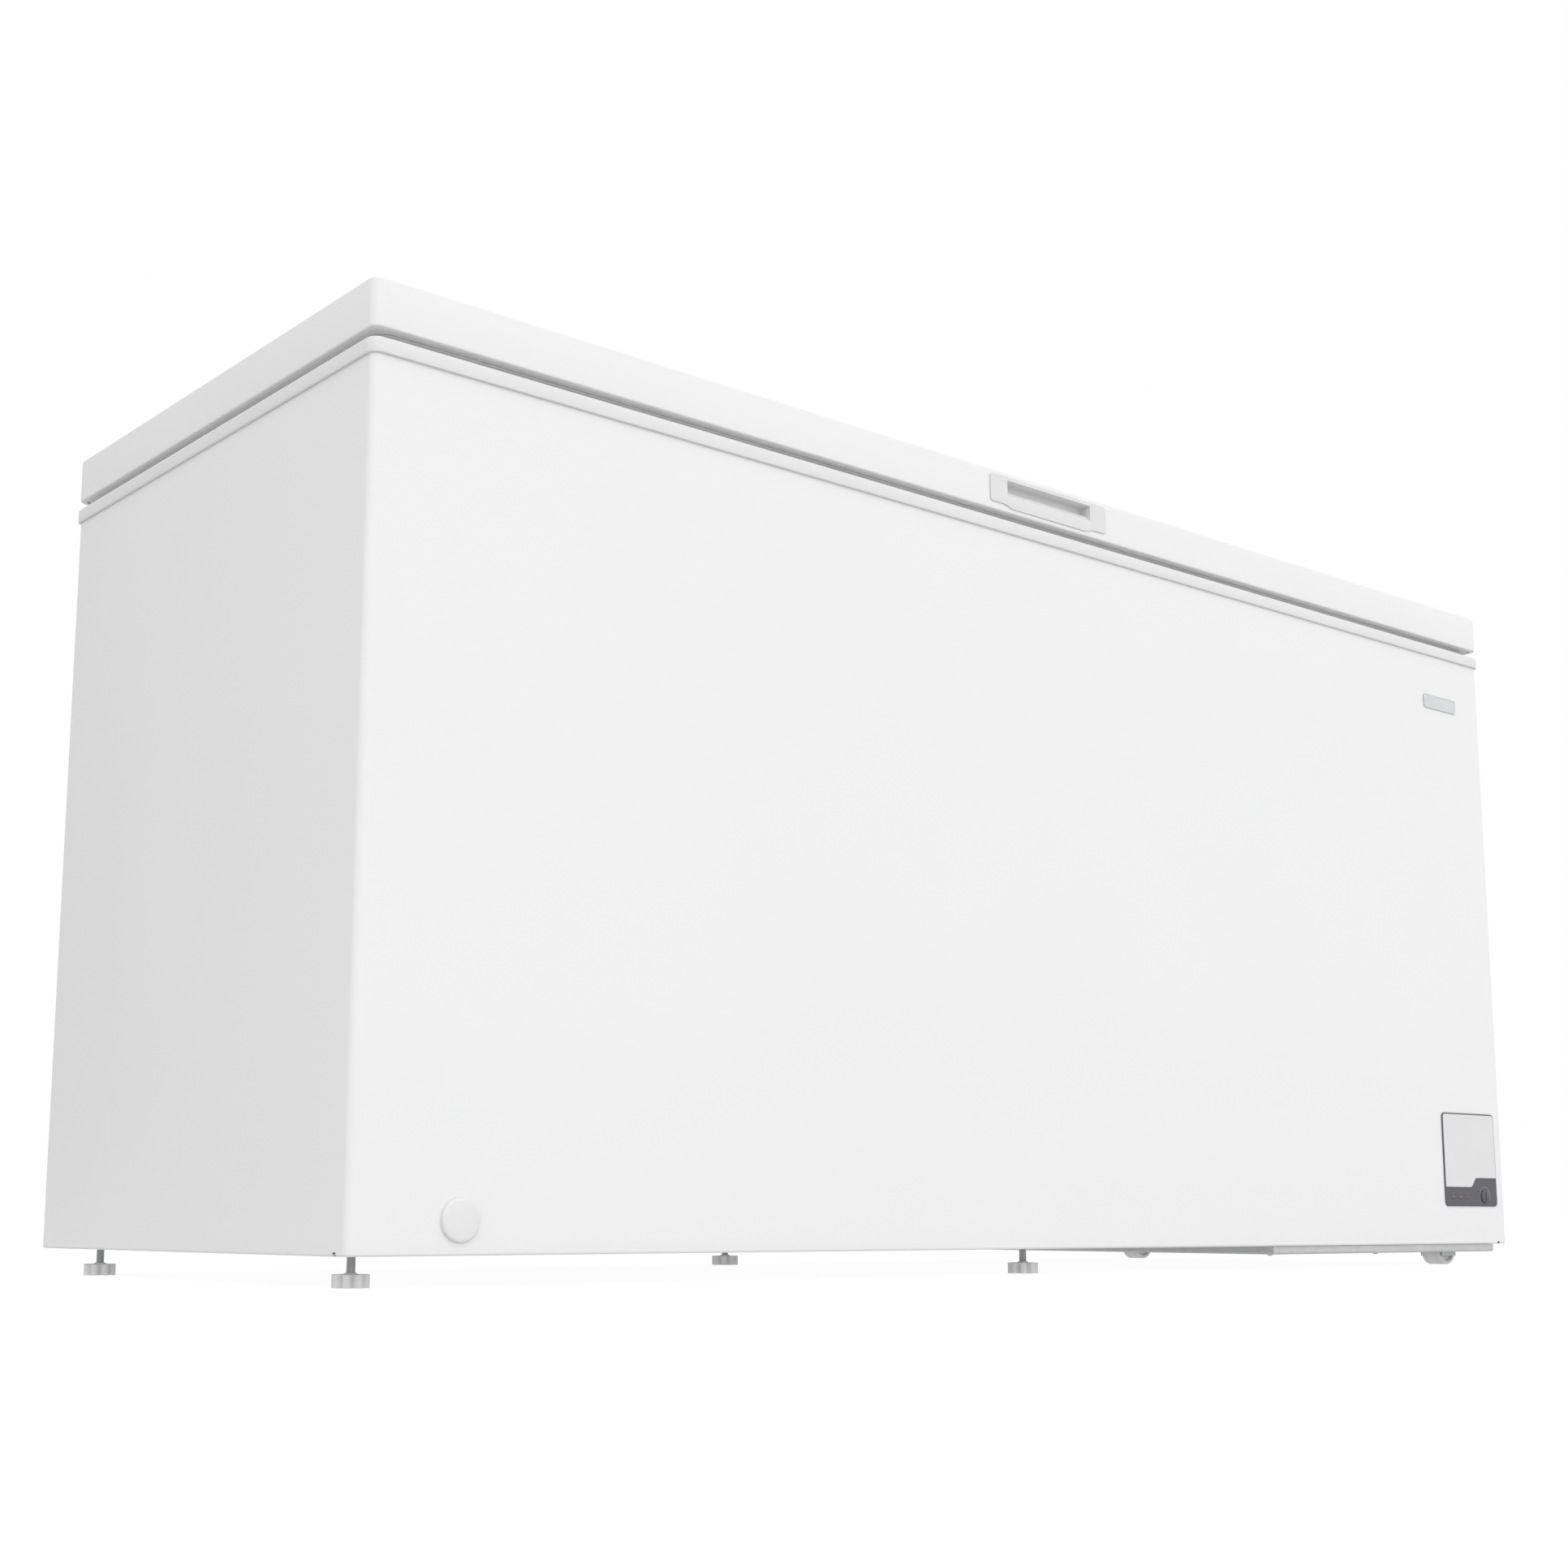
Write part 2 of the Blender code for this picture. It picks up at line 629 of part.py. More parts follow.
def make_foam():
    """Insulation between the walls and the liner, with room left for both tube coils."""
    edge = SHEET + CONDENSER_ROOM
    rear = REAR_FACE - SHEET - CONDENSER_ROOM
    outline = rounded_rectangle(edge, CABINET_W - edge, edge, rear, 0.014, 3)
    foam = place("foam_insulation", plate_mesh([outline], SHEET * 2 + GAP * 2, FOAM_TOP), FOAM)
    side, down = SHEET + COIL_ROOM, SHEET + GAP
    nose = Vector((STEP_X + side, STEP_Z - down))

    def on_nose(corner):
        return (Vector((corner.x, corner.z)) - nose).length < 0.0001

    room = round_edges(stepped_box(side, FOAM_TOP + 0.02, floor_grow=down),
                       lambda a, b: on_nose(a) and on_nose(b), LINER_R * 0.8)
    cut(foam, helper("foam_tank_room", room))
    cut(foam, helper("foam_machine_room", box_mesh(
        (MACHINE_X - GAP, -0.01, -0.01), (CABINET_W + 0.01, CABINET_D + 0.01, MACHINE_H + SHEET + GAP))))
    reach = DRAIN_BORE_R + DRAIN_WALL + GAP
    cut(foam, helper("foam_drain_room", box_mesh(
        (DRAIN_X - reach, -0.01, DRAIN_Z - reach), (DRAIN_X + reach, DRAIN_Y + reach, WALL + 0.001))))
    for name, (x, y) in foot_places().items():
        cut(foam, helper("foam_boss_room_" + name, rod_mesh(
            (x, y, -0.01), (x, y, STEM_UP + FOOT_TRAVEL + 0.004), STEM_BOSS_R + GAP, 16)))
    return foam


def wound_tube(x0, x1_at, y0, y1, z0, z1, pitch, bend, steps=2):
    """A tube wound round a tank: one loop for each pitch of height, starting on the left."""
    points = []
    loops = int((z1 - z0) / pitch)
    for loop in range(loops):
        low = z0 + loop * pitch
        x1 = x1_at(low)
        ring = rounded_rectangle(x0, x1, y0, y1, bend, steps)
        ring = ring[-(steps + 1):] + ring[:-(steps + 1)]
        for index, (x, y) in enumerate(ring):
            points.append((x, y, low + pitch * index / len(ring)))
    return points


def make_evaporator():
    off = SHEET + GAP + EVAPORATOR_R
    clear_of_step = STEP_Z + 2 * EVAPORATOR_R

    def right_end(z):
        return CABINET_W - WALL + off if z > clear_of_step - EVAPORATOR_PITCH / 4 else STEP_X + off

    first = clear_of_step - 3 * EVAPORATOR_PITCH
    points = wound_tube(WALL - off, right_end, WALL - off, CABINET_D - WALL + off,
                        first, WALL_TOP - 0.03, EVAPORATOR_PITCH, bend=0.016)
    return smooth(place("evaporator_coil", wire_mesh(points, EVAPORATOR_R, 6), ALUMINIUM))


def make_condenser():
    off = SHEET + GAP + CONDENSER_R
    rear = REAR_FACE - SHEET - GAP - CONDENSER_R
    points = wound_tube(off, lambda z: CABINET_W - off, off, rear,
                        MACHINE_H + 0.03, WALL_TOP - 0.04, CONDENSER_PITCH, bend=0.010)
    return smooth(place("condenser_coil", wire_mesh(points, CONDENSER_R, 6), COPPER))


# ---------------------------------------------------------------- collar


def make_top_collar():
    """Moulded frame that caps the walls and the liner and carries the baskets."""
    top = plate_mesh([plan(-COLLAR_PROUD, CORNER_R + COLLAR_PROUD), plan(LIP_IN, LIP_R - LIP_T)],
                     COLLAR_TOP - COLLAR_T, COLLAR_TOP)
    round_edges(top, lambda a, b: min(a.z, b.z) > COLLAR_TOP - 0.0001, 0.0015, 2)
    collar = place("top_collar", top, WHITE_PLASTIC)
    join(collar,
         helper("collar_skirt", plate_mesh(
             [plan(-COLLAR_PROUD, CORNER_R + COLLAR_PROUD), plan(-GAP, CORNER_R + GAP)],
             BODY_H, COLLAR_TOP - COLLAR_T / 2)),
         helper("collar_lip", plate_mesh(
             [plan(LIP_OUT, LIP_R), plan(LIP_IN, LIP_R - LIP_T)],
             COLLAR_TOP - COLLAR_LIP, COLLAR_TOP - COLLAR_T / 2)),
         helper("collar_ledge", plate_mesh(
             [plan(LIP_OUT + LIP_T / 2, LIP_R - LIP_T / 2),
              plan(LIP_IN + LEDGE_W, LIP_R - LIP_T - LEDGE_W / 2)],
             COLLAR_TOP - COLLAR_LIP, COLLAR_TOP - COLLAR_LIP + LEDGE_T)))
    return smooth(collar)


# ---------------------------------------------------------------- lid


def grip_outline(width, height, low, radius):
    middle = CABINET_W / 2
    return rounded_rectangle(middle - width / 2, middle + width / 2, low, low + height, radius, 3)


GRIP_LOW = LID_Z0 + GRIP_Z
POCKET_LOW = GRIP_LOW + POCKET_RISE
SLEEVE_W = POCKET_W + 2 * POCKET_WALL
SLEEVE_H = POCKET_H + 2 * POCKET_WALL


def sleeve_room(name, clear, y0, y1):
    low = POCKET_LOW - POCKET_WALL - clear
    outline = grip_outline(SLEEVE_W + 2 * clear, SLEEVE_H + 2 * clear, low, 0.003)
    return helper(name, plate_mesh([outline], y0, y1, "Y"))


def make_lid_skin():
    """Painted sheet top with a folded skirt."""
    over = LID_OVERHANG
    mesh = plate_mesh([plan(-over, CORNER_R)], LID_Z0, LID_Z1)
    round_edges(mesh, lambda a, b: min(a.z, b.z) > LID_Z1 - 0.0001, LID_EDGE_R)
    skin = place("lid_skin", mesh, WHITE_PAINT, parent=LID_AXIS)
    inside = plate_mesh([plan(SHEET - over, CORNER_R - SHEET)], LID_Z0 - 0.01, LID_Z1 - SHEET)
    round_edges(inside, lambda a, b: min(a.z, b.z) > LID_Z1 - SHEET - 0.0001, LID_EDGE_R - SHEET)
    cut(skin, helper("lid_inside", inside), sleeve_room("skin_grip_opening", GAP, -0.01, 0.01))
    return smooth(skin)


def make_lid_foam():
    inset = SHEET - LID_OVERHANG + GAP
    low = LID_Z0 + LID_LINER_T + GAP
    mesh = plate_mesh([plan(inset, CORNER_R)], low, LID_Z1 - SHEET - GAP)
    round_edges(mesh, lambda a, b: min(a.z, b.z) > LID_Z1 - SHEET - GAP - 0.0001, LID_EDGE_R, 2)
    foam = place("lid_foam", mesh, FOAM, parent=LID_AXIS)
    plug = LIP_IN + PLUG_CLEAR + LID_LINER_T + GAP
    join(foam, helper("lid_foam_plug", plate_mesh(
        [plan(plug, 0.015)], LID_Z0 - PLUG_DEPTH + LID_LINER_T + GAP, low + 0.005)))
    cut(foam, sleeve_room("foam_grip_room", 2 * GAP, -0.02, POCKET_DEPTH + POCKET_WALL + GAP))
    return foam


def make_lid_liner():
    """Moulded inner panel: a flat rim for the gasket and a raised field that enters the tank."""
    inset = SHEET - LID_OVERHANG + GAP
    plug = LIP_IN + PLUG_CLEAR
    liner = place("lid_liner", plate_mesh([plan(inset, CORNER_R - SHEET)], LID_Z0, LID_Z0 + LID_LINER_T),
                  WHITE_PLASTIC, parent=LID_AXIS)
    field = plate_mesh([plan(plug, 0.017)], LID_Z0 - PLUG_DEPTH, LID_Z0 + LID_LINER_T / 2)
    round_edges(field, lambda a, b: max(a.z, b.z) < LID_Z0 - PLUG_DEPTH + 0.001, 0.004, 2)
    join(liner, helper("lid_liner_field", field))
    hollow = plate_mesh([plan(plug + LID_LINER_T, 0.0155)],
                        LID_Z0 - PLUG_DEPTH + LID_LINER_T, LID_Z0 + 0.01)
    cut(liner, helper("lid_liner_hollow", hollow))
    return smooth(liner)


def make_gasket():
    """Soft seal between the lid's rim and the collar."""
    inset = GASKET_INSET - LID_OVERHANG
    mesh = plate_mesh([plan(inset, 0.006), plan(inset + GASKET_W, 0.004)], COLLAR_TOP + GAP, LID_Z0 - GAP)
    return place("lid_gasket", mesh, GREY_RUBBER, parent=LID_AXIS)


def make_lid_grip():
    """Bezel and finger pocket, in one moulding that fits through the skirt."""
    back = -LID_OVERHANG - GAP
    bezel = plate_mesh([grip_outline(GRIP_W, GRIP_H, GRIP_LOW, 0.003)], back - GRIP_T, back, "Y")
    grip = place("lid_grip", bezel, GRIP_PLASTIC, parent=LID_AXIS)
    sleeve = grip_outline(SLEEVE_W, SLEEVE_H, POCKET_LOW - POCKET_WALL, 0.0025)
    join(grip, helper("grip_sleeve", plate_mesh(
        [sleeve], back - GRIP_T / 2, POCKET_DEPTH + POCKET_WALL, "Y")))
    # The pocket is shallow at its lower edge and deepest under its roof.
    mouth, high = back - GRIP_T - 0.001, POCKET_LOW + POCKET_H
    scoop = [(mouth, POCKET_LOW)]
    for step in range(6):
        angle = math.radians(90 * step / 5)
        scoop.append((0.001 + (POCKET_DEPTH - 0.001) * math.sin(angle),
                      POCKET_LOW + (POCKET_H - 0.004) * (1 - math.cos(angle))))
    scoop += [(POCKET_DEPTH, high), (mouth, high)]
    middle = CABINET_W / 2
    cut(grip, helper("grip_pocket", plate_mesh([scoop], middle - POCKET_W / 2, middle + POCKET_W / 2, "X")))
    return smooth(grip)


# ---------------------------------------------------------------- hinges


def hinge_places():
    return {"left": HINGE_INSET, "right": CABINET_W - HINGE_INSET}


def ear_outline():
    """Side view (y, z) of a bracket ear, round about the pin."""
    low = BODY_H - HOUSING_DROP - 0.004
    points = [(HINGE_Y - KNUCKLE_R, low), (HINGE_Y + KNUCKLE_R, low)]
    for step in range(9):
        angle = math.radians(180 * step / 8)
        points.append((HINGE_Y + KNUCKLE_R * math.cos(angle), HINGE_Z + KNUCKLE_R * math.sin(angle)))
    return points


def make_hinge(side, x):
    top = BODY_H - HOUSING_DROP
    low = top - HOUSING_H
    bracket = place("hinge_bracket_" + side, round_edges(
        box_mesh((x - HINGE_W / 2, CABINET_D + GAP, low), (x + HINGE_W / 2, CABINET_D + HOUSING_T, top)),
        lambda a, b: min(a.y, b.y) > CABINET_D + 0.005, 0.003, 2), ZINC)
    pin_hole = rod_mesh(
        (x - HINGE_W, HINGE_Y, HINGE_Z), (x + HINGE_W, HINGE_Y, HINGE_Z), PIN_R + PIN_PLAY, 20)
    inner = KNUCKLE_W / 2 + 2 * GAP
    for hand, at in (("a", x - inner - EAR_T), ("b", x + inner)):
        join(bracket, helper(f"ear_{side}_{hand}", plate_mesh([ear_outline()], at, at + EAR_T, "X")))
    cut(bracket,
        helper("bracket_pin_hole_" + side, pin_hole),
        helper("spring_bore_" + side, rod_mesh(
            (x, HINGE_Y, low + 0.008), (x, HINGE_Y, top - 0.006), SPRING_BORE_R, 16)),
        helper("spring_drain_" + side, rod_mesh(
            (x, HINGE_Y, low - 0.01), (x, HINGE_Y, low + 0.02), 0.003, 8)))
    smooth(bracket)

    turns, per_turn = 7, 8
    bottom, span = low + 0.008 + SPRING_WIRE / 2 + GAP, top - low - 0.014 - SPRING_WIRE - 2 * GAP
    reach = SPRING_BORE_R - SPRING_WIRE / 2 - 2 * GAP
    helix = []
    for step in range(turns * per_turn + 1):
        angle = 2 * math.pi * step / per_turn
        helix.append((reach * math.cos(angle), reach * math.sin(angle), span * step / (turns * per_turn)))
    smooth(place("hinge_spring_" + side, wire_mesh(helix, SPRING_WIRE / 2, 6), SPRING_STEEL,
                 at=(x, HINGE_Y, bottom)))

    reach = KNUCKLE_W / 2 + EAR_T + 0.0025
    turned("hinge_pin_" + side, [(0, reach), (PIN_R - 0.0006, reach), (PIN_R, reach - 0.0006),
                                 (PIN_R, -reach + 0.0006), (PIN_R - 0.0006, -reach), (0, -reach)],
           SPRING_STEEL, at=(x, HINGE_Y, HINGE_Z), turn=(0, math.pi / 2, 0), sides=16)

    skirt = CABINET_D + LID_OVERHANG + GAP
    leaf_z = LID_Z0 + LEAF_Z
    leaf = place("hinge_leaf_" + side, box_mesh(
        (x - HINGE_W / 2, skirt, leaf_z), (x + HINGE_W / 2, skirt + LEAF_T, leaf_z + LEAF_H)),
        ZINC, parent=LID_AXIS)
    half = KNUCKLE_W / 2
    join(leaf,
         helper("leaf_web_" + side, box_mesh(
             (x - half, skirt + LEAF_T / 2, HINGE_Z), (x + half, HINGE_Y, HINGE_Z + KNUCKLE_R - 0.0005))),
         helper("leaf_knuckle_" + side, rod_mesh(
             (x - half - 0.0001, HINGE_Y, HINGE_Z), (x + half + 0.0001, HINGE_Y, HINGE_Z), KNUCKLE_R, 20)))
    cut(leaf, helper("leaf_pin_hole_" + side, pin_hole.copy()))
    return smooth(leaf)


# ---------------------------------------------------------------- control panel


def cover_outline():
    """Cover seen from the front as (x, z): its lower edge rises in a smooth step over the dial."""
    x0, x1 = PANEL_X + PANEL_RIM, PANEL_X + PANEL - PANEL_RIM
    z1 = PANEL_Z + PANEL - PANEL_RIM
    low, high = PANEL_Z + WINDOW_LOW, PANEL_Z + WINDOW_HIGH
    radius = PANEL_R - PANEL_RIM
    points = [(x0, low)]
    steps = 8
    for step in range(steps + 1):
        part = step / steps
        points.append((PANEL_X + PANEL - WINDOW_STEP_FROM_RIGHT + WINDOW_STEP_W * part,
                       low + (high - low) * (0.5 - 0.5 * math.cos(math.pi * part))))
    points.append((x1, high))
    for cx, first in ((x1 - radius, 0), (x0 + radius, 90)):
        for step in range(5):
            angle = math.radians(first + 22.5 * step)
            points.append((cx + radius * math.cos(angle), z1 - radius + radius * math.sin(angle)))
    return points


def lens_places():
    return [(PANEL_X + LENS_X + index * LENS_PITCH, PANEL_Z + LENS_Z) for index in range(3)]


def make_control_panel():
    outline = rounded_rectangle(PANEL_X, PANEL_X + PANEL, PANEL_Z, PANEL_Z + PANEL, PANEL_R)
    base = place("control_panel_base", plate_mesh([outline], PANEL_FRONT, PANEL_BACK, "Y"), DARK_PLASTIC)
    x0, x1 = PANEL_X + HOUSE_INSET, PANEL_X + PANEL - HOUSE_INSET
    z0, z1 = PANEL_Z + HOUSE_INSET, PANEL_Z + PANEL - HOUSE_INSET
    join(base, helper("panel_house", box_mesh(
        (x0, PANEL_BACK - PANEL_T / 2, z0), (x1, HOUSE_DEPTH, z1))))
    wall = 0.002
    cut(base, helper("panel_house_inside", box_mesh(
        (x0 + wall, PANEL_BACK, z0 + wall), (x1 - wall, HOUSE_DEPTH + 0.01, z1 - wall))))
    dial_x, dial_z = PANEL_X + PANEL - DIAL_FROM_RIGHT, PANEL_Z + DIAL_Z
    cut(base,
        helper("dial_shaft_hole", rod_mesh(
            (dial_x, -0.01, dial_z), (dial_x, 0.02, dial_z), DIAL_SHAFT_R + PIN_PLAY, 16)))
    for index, (x, z) in enumerate(lens_places()):
        cut(base, helper(f"lens_hole_{index + 1}", rod_mesh(
            (x, -0.01, z), (x, 0.02, z), LENS_R + PIN_PLAY, 12)))
        colour = ((0.05, 0.45, 0.10), (0.50, 0.22, 0.02), (0.50, 0.03, 0.02))[index]
        turned(f"indicator_lens_{index + 1}",
               [(0, 0.0006), (LENS_R * 0.7, 0.0004), (LENS_R, 0), (LENS_R, -0.006), (0, -0.006)],
               (colour, 0.25), at=(x, PANEL_FRONT, z), turn=(math.pi / 2, 0, 0), sides=12)
    cover = place("control_panel_cover", plate_mesh([cover_outline()], COVER_FRONT, COVER_BACK, "Y"),
                  COVER_PLASTIC)
    round_edges(cover.data, lambda a, b: max(a.y, b.y) < COVER_FRONT + 0.0001, 0.0006, 2)
    smooth(cover)

    right, low = x1 - wall - GAP, z0 + wall + GAP
    body = place("thermostat", box_mesh(
        (right - THERMOSTAT_W, PANEL_BACK + GAP, low), (right, THERMOSTAT_D, low + THERMOSTAT_H)), ZINC)
    cut(body, helper("thermostat_shaft_hole", rod_mesh(
        (dial_x, -0.01, dial_z), (dial_x, THERMOSTAT_D / 2, dial_z), DIAL_SHAFT_R + PIN_PLAY, 16)))

    dial = turned("thermostat_dial",
                  [(0, COVER_T), (DIAL_R - 0.0006, COVER_T), (DIAL_R, COVER_T - 0.0006), (DIAL_R, 0),
                   (DIAL_SHAFT_R, 0), (DIAL_SHAFT_R, -0.010), (0, -0.010)],
                  COVER_PLASTIC, at=(dial_x, PANEL_FRONT - GAP, dial_z), turn=(math.pi / 2, 0, 0), sides=28)
    slot = box_mesh((dial_x - 0.0008, COVER_FRONT - 0.002, dial_z - DIAL_R * 0.75),
                    (dial_x + 0.0008, PANEL_FRONT - GAP - 0.0007, dial_z + DIAL_R * 0.75))
    cut(dial, helper("dial_coin_slot", slot))
    return base


def make_badge():
    """Plain plate without any mark."""
    x1 = CABINET_W - BADGE_FROM_RIGHT
    outline = rounded_rectangle(x1 - BADGE_W, x1, BADGE_Z, BADGE_Z + BADGE_H, 0.004)
    mesh = plate_mesh([outline], -GAP - 0.001, -GAP, "Y")
    return place("front_badge", mesh, ALUMINIUM)


# ---------------------------------------------------------------- drain


def make_drain():
    start = Vector((DRAIN_X, DRAIN_Y, WALL - SHEET - GAP))
    points = [start]
    for step in range(6):
        angle = math.radians(90 * step / 5)
        points.append(Vector((DRAIN_X, DRAIN_Y - DRAIN_BEND * (1 - math.cos(angle)),
                              DRAIN_Z + DRAIN_BEND * (1 - math.sin(angle)))))
    points.append(Vector((DRAIN_X, SHEET / 4, DRAIN_Z)))
    mesh = wire_mesh(points, DRAIN_BORE_R + DRAIN_WALL, 12)
    tube = place("drain_tube", mesh, WHITE_PLASTIC)
    longer = [start + Vector((0, 0, 0.01)), *points[1:-1], points[-1] - Vector((0, 0.01, 0))]
    cut(tube, helper("drain_tube_bore", wire_mesh(longer, DRAIN_BORE_R, 12)))
    smooth(tube)

    spigot_r = DRAIN_BORE_R - 2 * PIN_PLAY
    turned("drain_cap",
           [(0, CAP_T * 0.70), (CAP_R * 0.52, CAP_T * 0.70), (CAP_R * 0.60, CAP_T), (CAP_R - 0.0025, CAP_T),
            (CAP_R, CAP_T - 0.0020), (CAP_R, 0), (spigot_r, 0), (spigot_r, -SPIGOT), (0, -SPIGOT)],
           WHITE_PLASTIC, at=(DRAIN_X, -GAP, DRAIN_Z), turn=(math.pi / 2, 0, 0), sides=24)
    turned("drain_plug",
           [(0, PLUG_T), (PLUG_R * 0.35, PLUG_T), (PLUG_R * 0.40, PLUG_T * 0.55), (PLUG_R, PLUG_T * 0.45),
            (PLUG_R, 0), (spigot_r, 0), (spigot_r, -0.010), (0, -0.010)],
           WHITE_PLASTIC, at=(DRAIN_X, DRAIN_Y, WALL + GAP), sides=24)
    return tube


# ---------------------------------------------------------------- feet and rollers


def make_feet():
    """Screw-in levelling feet: a ribbed disc on a threaded stem."""
    low = -FLOOR_GAP
    outline = []
    for rib in range(FOOT_RIBS):
        for share, radius in ((0, FOOT_R), (0.45, FOOT_R), (0.55, FOOT_R - 0.0015), (0.9, FOOT_R - 0.0015)):
            angle = 2 * math.pi * (rib + share) / FOOT_RIBS
            outline.append((radius * math.cos(angle), radius * math.sin(angle)))
    for name, (x, y) in foot_places().items():
        foot = place("foot_" + name, plate_mesh([outline], low, low + FOOT_H), WHITE_PLASTIC, at=(x, y, 0))
        stem = place("stem_" + name, rod_mesh(
            (0, 0, low + FOOT_H / 2), (0, 0, STEM_UP), STEM_R, 16), at=(x, y, 0))
        join(foot, stem)
        smooth(foot)


def make_rollers():
    """Fixed transport rollers under the heavy end, each on an axle between two cheeks."""
    top = ROLLER_Z + ROLLER_R + CHEEK_TOP
    foot_z = PAN_FLOOR + GAP
    for name, y in roller_places().items():
        inner, outer = CHEEK_Y, CHEEK_Y + CHEEK_T
        low, flange = ROLLER_Z - CHEEK_DROP, WELL_Y + 0.011
        section = [(y + s * a, z) for s, a, z in (
            (-1, inner, low), (-1, inner, top), (1, inner, top), (1, inner, low), (1, outer, low),
            (1, outer, foot_z), (1, flange, foot_z), (1, flange, foot_z + CHEEK_T),
            (1, outer, foot_z + CHEEK_T), (1, outer, top + CHEEK_T), (-1, outer, top + CHEEK_T),
            (-1, outer, foot_z + CHEEK_T), (-1, flange, foot_z + CHEEK_T), (-1, flange, foot_z),
            (-1, outer, foot_z), (-1, outer, low))]
        bracket = place("roller_bracket_" + name, plate_mesh(
            [section], ROLLER_X - CHEEK_W / 2, ROLLER_X + CHEEK_W / 2, "X"), ZINC)
        cut(bracket, helper("axle_hole_" + name, rod_mesh(
            (ROLLER_X, y - outer - 0.01, ROLLER_Z), (ROLLER_X, y + outer + 0.01, ROLLER_Z),
            AXLE_R + PIN_PLAY, 16)))
        reach = outer + 0.0025
        turned("roller_axle_" + name,
               [(0, reach), (AXLE_R - 0.0005, reach), (AXLE_R, reach - 0.0005), (AXLE_R, -reach + 0.0005),
                (AXLE_R - 0.0005, -reach), (0, -reach)],
               SPRING_STEEL, at=(ROLLER_X, y, ROLLER_Z), turn=(math.pi / 2, 0, 0), sides=16)
        half, bore, rim = ROLLER_W / 2, AXLE_R + PIN_PLAY, ROLLER_R * 0.72
        profile = [(bore, half), (rim, half - 0.001), (ROLLER_R - 0.0015, half),
                   (ROLLER_R, half - 0.0015), (ROLLER_R, -half + 0.0015), (ROLLER_R - 0.0015, -half),
                   (rim, -half + 0.001), (bore, -half)]
        turned("roller_" + name, profile, GRIP_PLASTIC, at=(ROLLER_X, y, ROLLER_Z),
               turn=(math.pi / 2, 0, 0), sides=28, ring=True)


# ---------------------------------------------------------------- machine room


def make_compressor():
    x, y = MACHINE_X + POT_X, POT_Y
    plate_low = PAN_FLOOR + GAP + MOUNT_H + GAP
    base = plate_low + POT_PLATE_T
    half_x, half_y = MOUNT_SPACING_X / 2, MOUNT_SPACING_Y / 2
    pot = turned("compressor",
                 [(0, POT_H), (POT_R * 0.55, POT_H - 0.006), (POT_R * 0.86, POT_H - 0.022),
                  (POT_R, POT_H - 0.050), (POT_R, 0.075), (POT_R + 0.004, 0.072),
                  (POT_R + 0.004, 0.066), (POT_R, 0.063),
                  (POT_R * 0.95, 0.025), (POT_R * 0.72, 0.006), (POT_R * 0.40, 0.0), (0, 0.0)],
                 BLACK_PAINT, at=(x, y, base), sides=24)
    edge = MOUNT_R + 0.005
    plate = round_edges(
        box_mesh((x - half_x - edge, y - half_y - edge, plate_low),
                 (x + half_x + edge, y + half_y + edge, base + 0.001)),
        lambda a, b: abs(a.z - b.z) > 0.001, 0.010, 2)
    join(pot, helper("compressor_plate", plate))
    for index, (sx, sy) in enumerate(((-1, -1), (1, -1), (-1, 1), (1, 1))):
        turned(f"compressor_mount_{index + 1}",
               [(0, MOUNT_H), (MOUNT_R * 0.8, MOUNT_H), (MOUNT_R * 0.8, MOUNT_H * 0.6),
                (MOUNT_R, MOUNT_H * 0.45), (MOUNT_R, 0), (0, 0)],
               RUBBER, at=(x + sx * half_x, y + sy * half_y, PAN_FLOOR + GAP), sides=16)
    smooth(place("terminal_box", round_edges(box_mesh(
        (x + POT_R + 0.004 + GAP, y - 0.028, base + 0.040), (x + POT_R + 0.036, y + 0.028, base + 0.100)),
        lambda a, b: True, 0.003, 2), BLACK_PLASTIC))
    wall_x = MACHINE_X + SHEET + GAP
    side = y - POT_R - GAP
    # Each line leaves the pot's side towards the front, rises and bends to the wall or the ceiling.
    discharge = [(x, side, base + 0.095), (x, side - 0.012, base + 0.095), (x, side - 0.020, base + 0.100),
                 (x, side - 0.024, base + 0.112), (x, side - 0.024, MACHINE_H - GAP)]
    smooth(place("discharge_pipe", wire_mesh(discharge, DISCHARGE_R, 8), COPPER))
    suction_x, slant = x - POT_R * math.sin(math.radians(40)), math.cos(math.radians(40))
    near = y - (POT_R + 3 * GAP + SUCTION_R) * slant
    suction = [(suction_x, near, base + 0.085), (suction_x, near - 0.020, base + 0.085),
               (suction_x - 0.006, near - 0.028, base + 0.087),
               (suction_x - 0.014, near - 0.030, base + 0.090),
               (wall_x, near - 0.030, base + 0.090)]
    smooth(place("suction_pipe", wire_mesh(suction, SUCTION_R, 8), COPPER))
    turned("filter_drier",
           [(0, DRIER_H), (0.003, DRIER_H), (0.003, DRIER_H - 0.012), (DRIER_R, DRIER_H - 0.024),
            (DRIER_R, 0.024), (0.003, 0.012), (0.003, 0), (0, 0)],
           COPPER, at=(wall_x + DRIER_R, 0.180, 0.080), sides=20)
    return pot


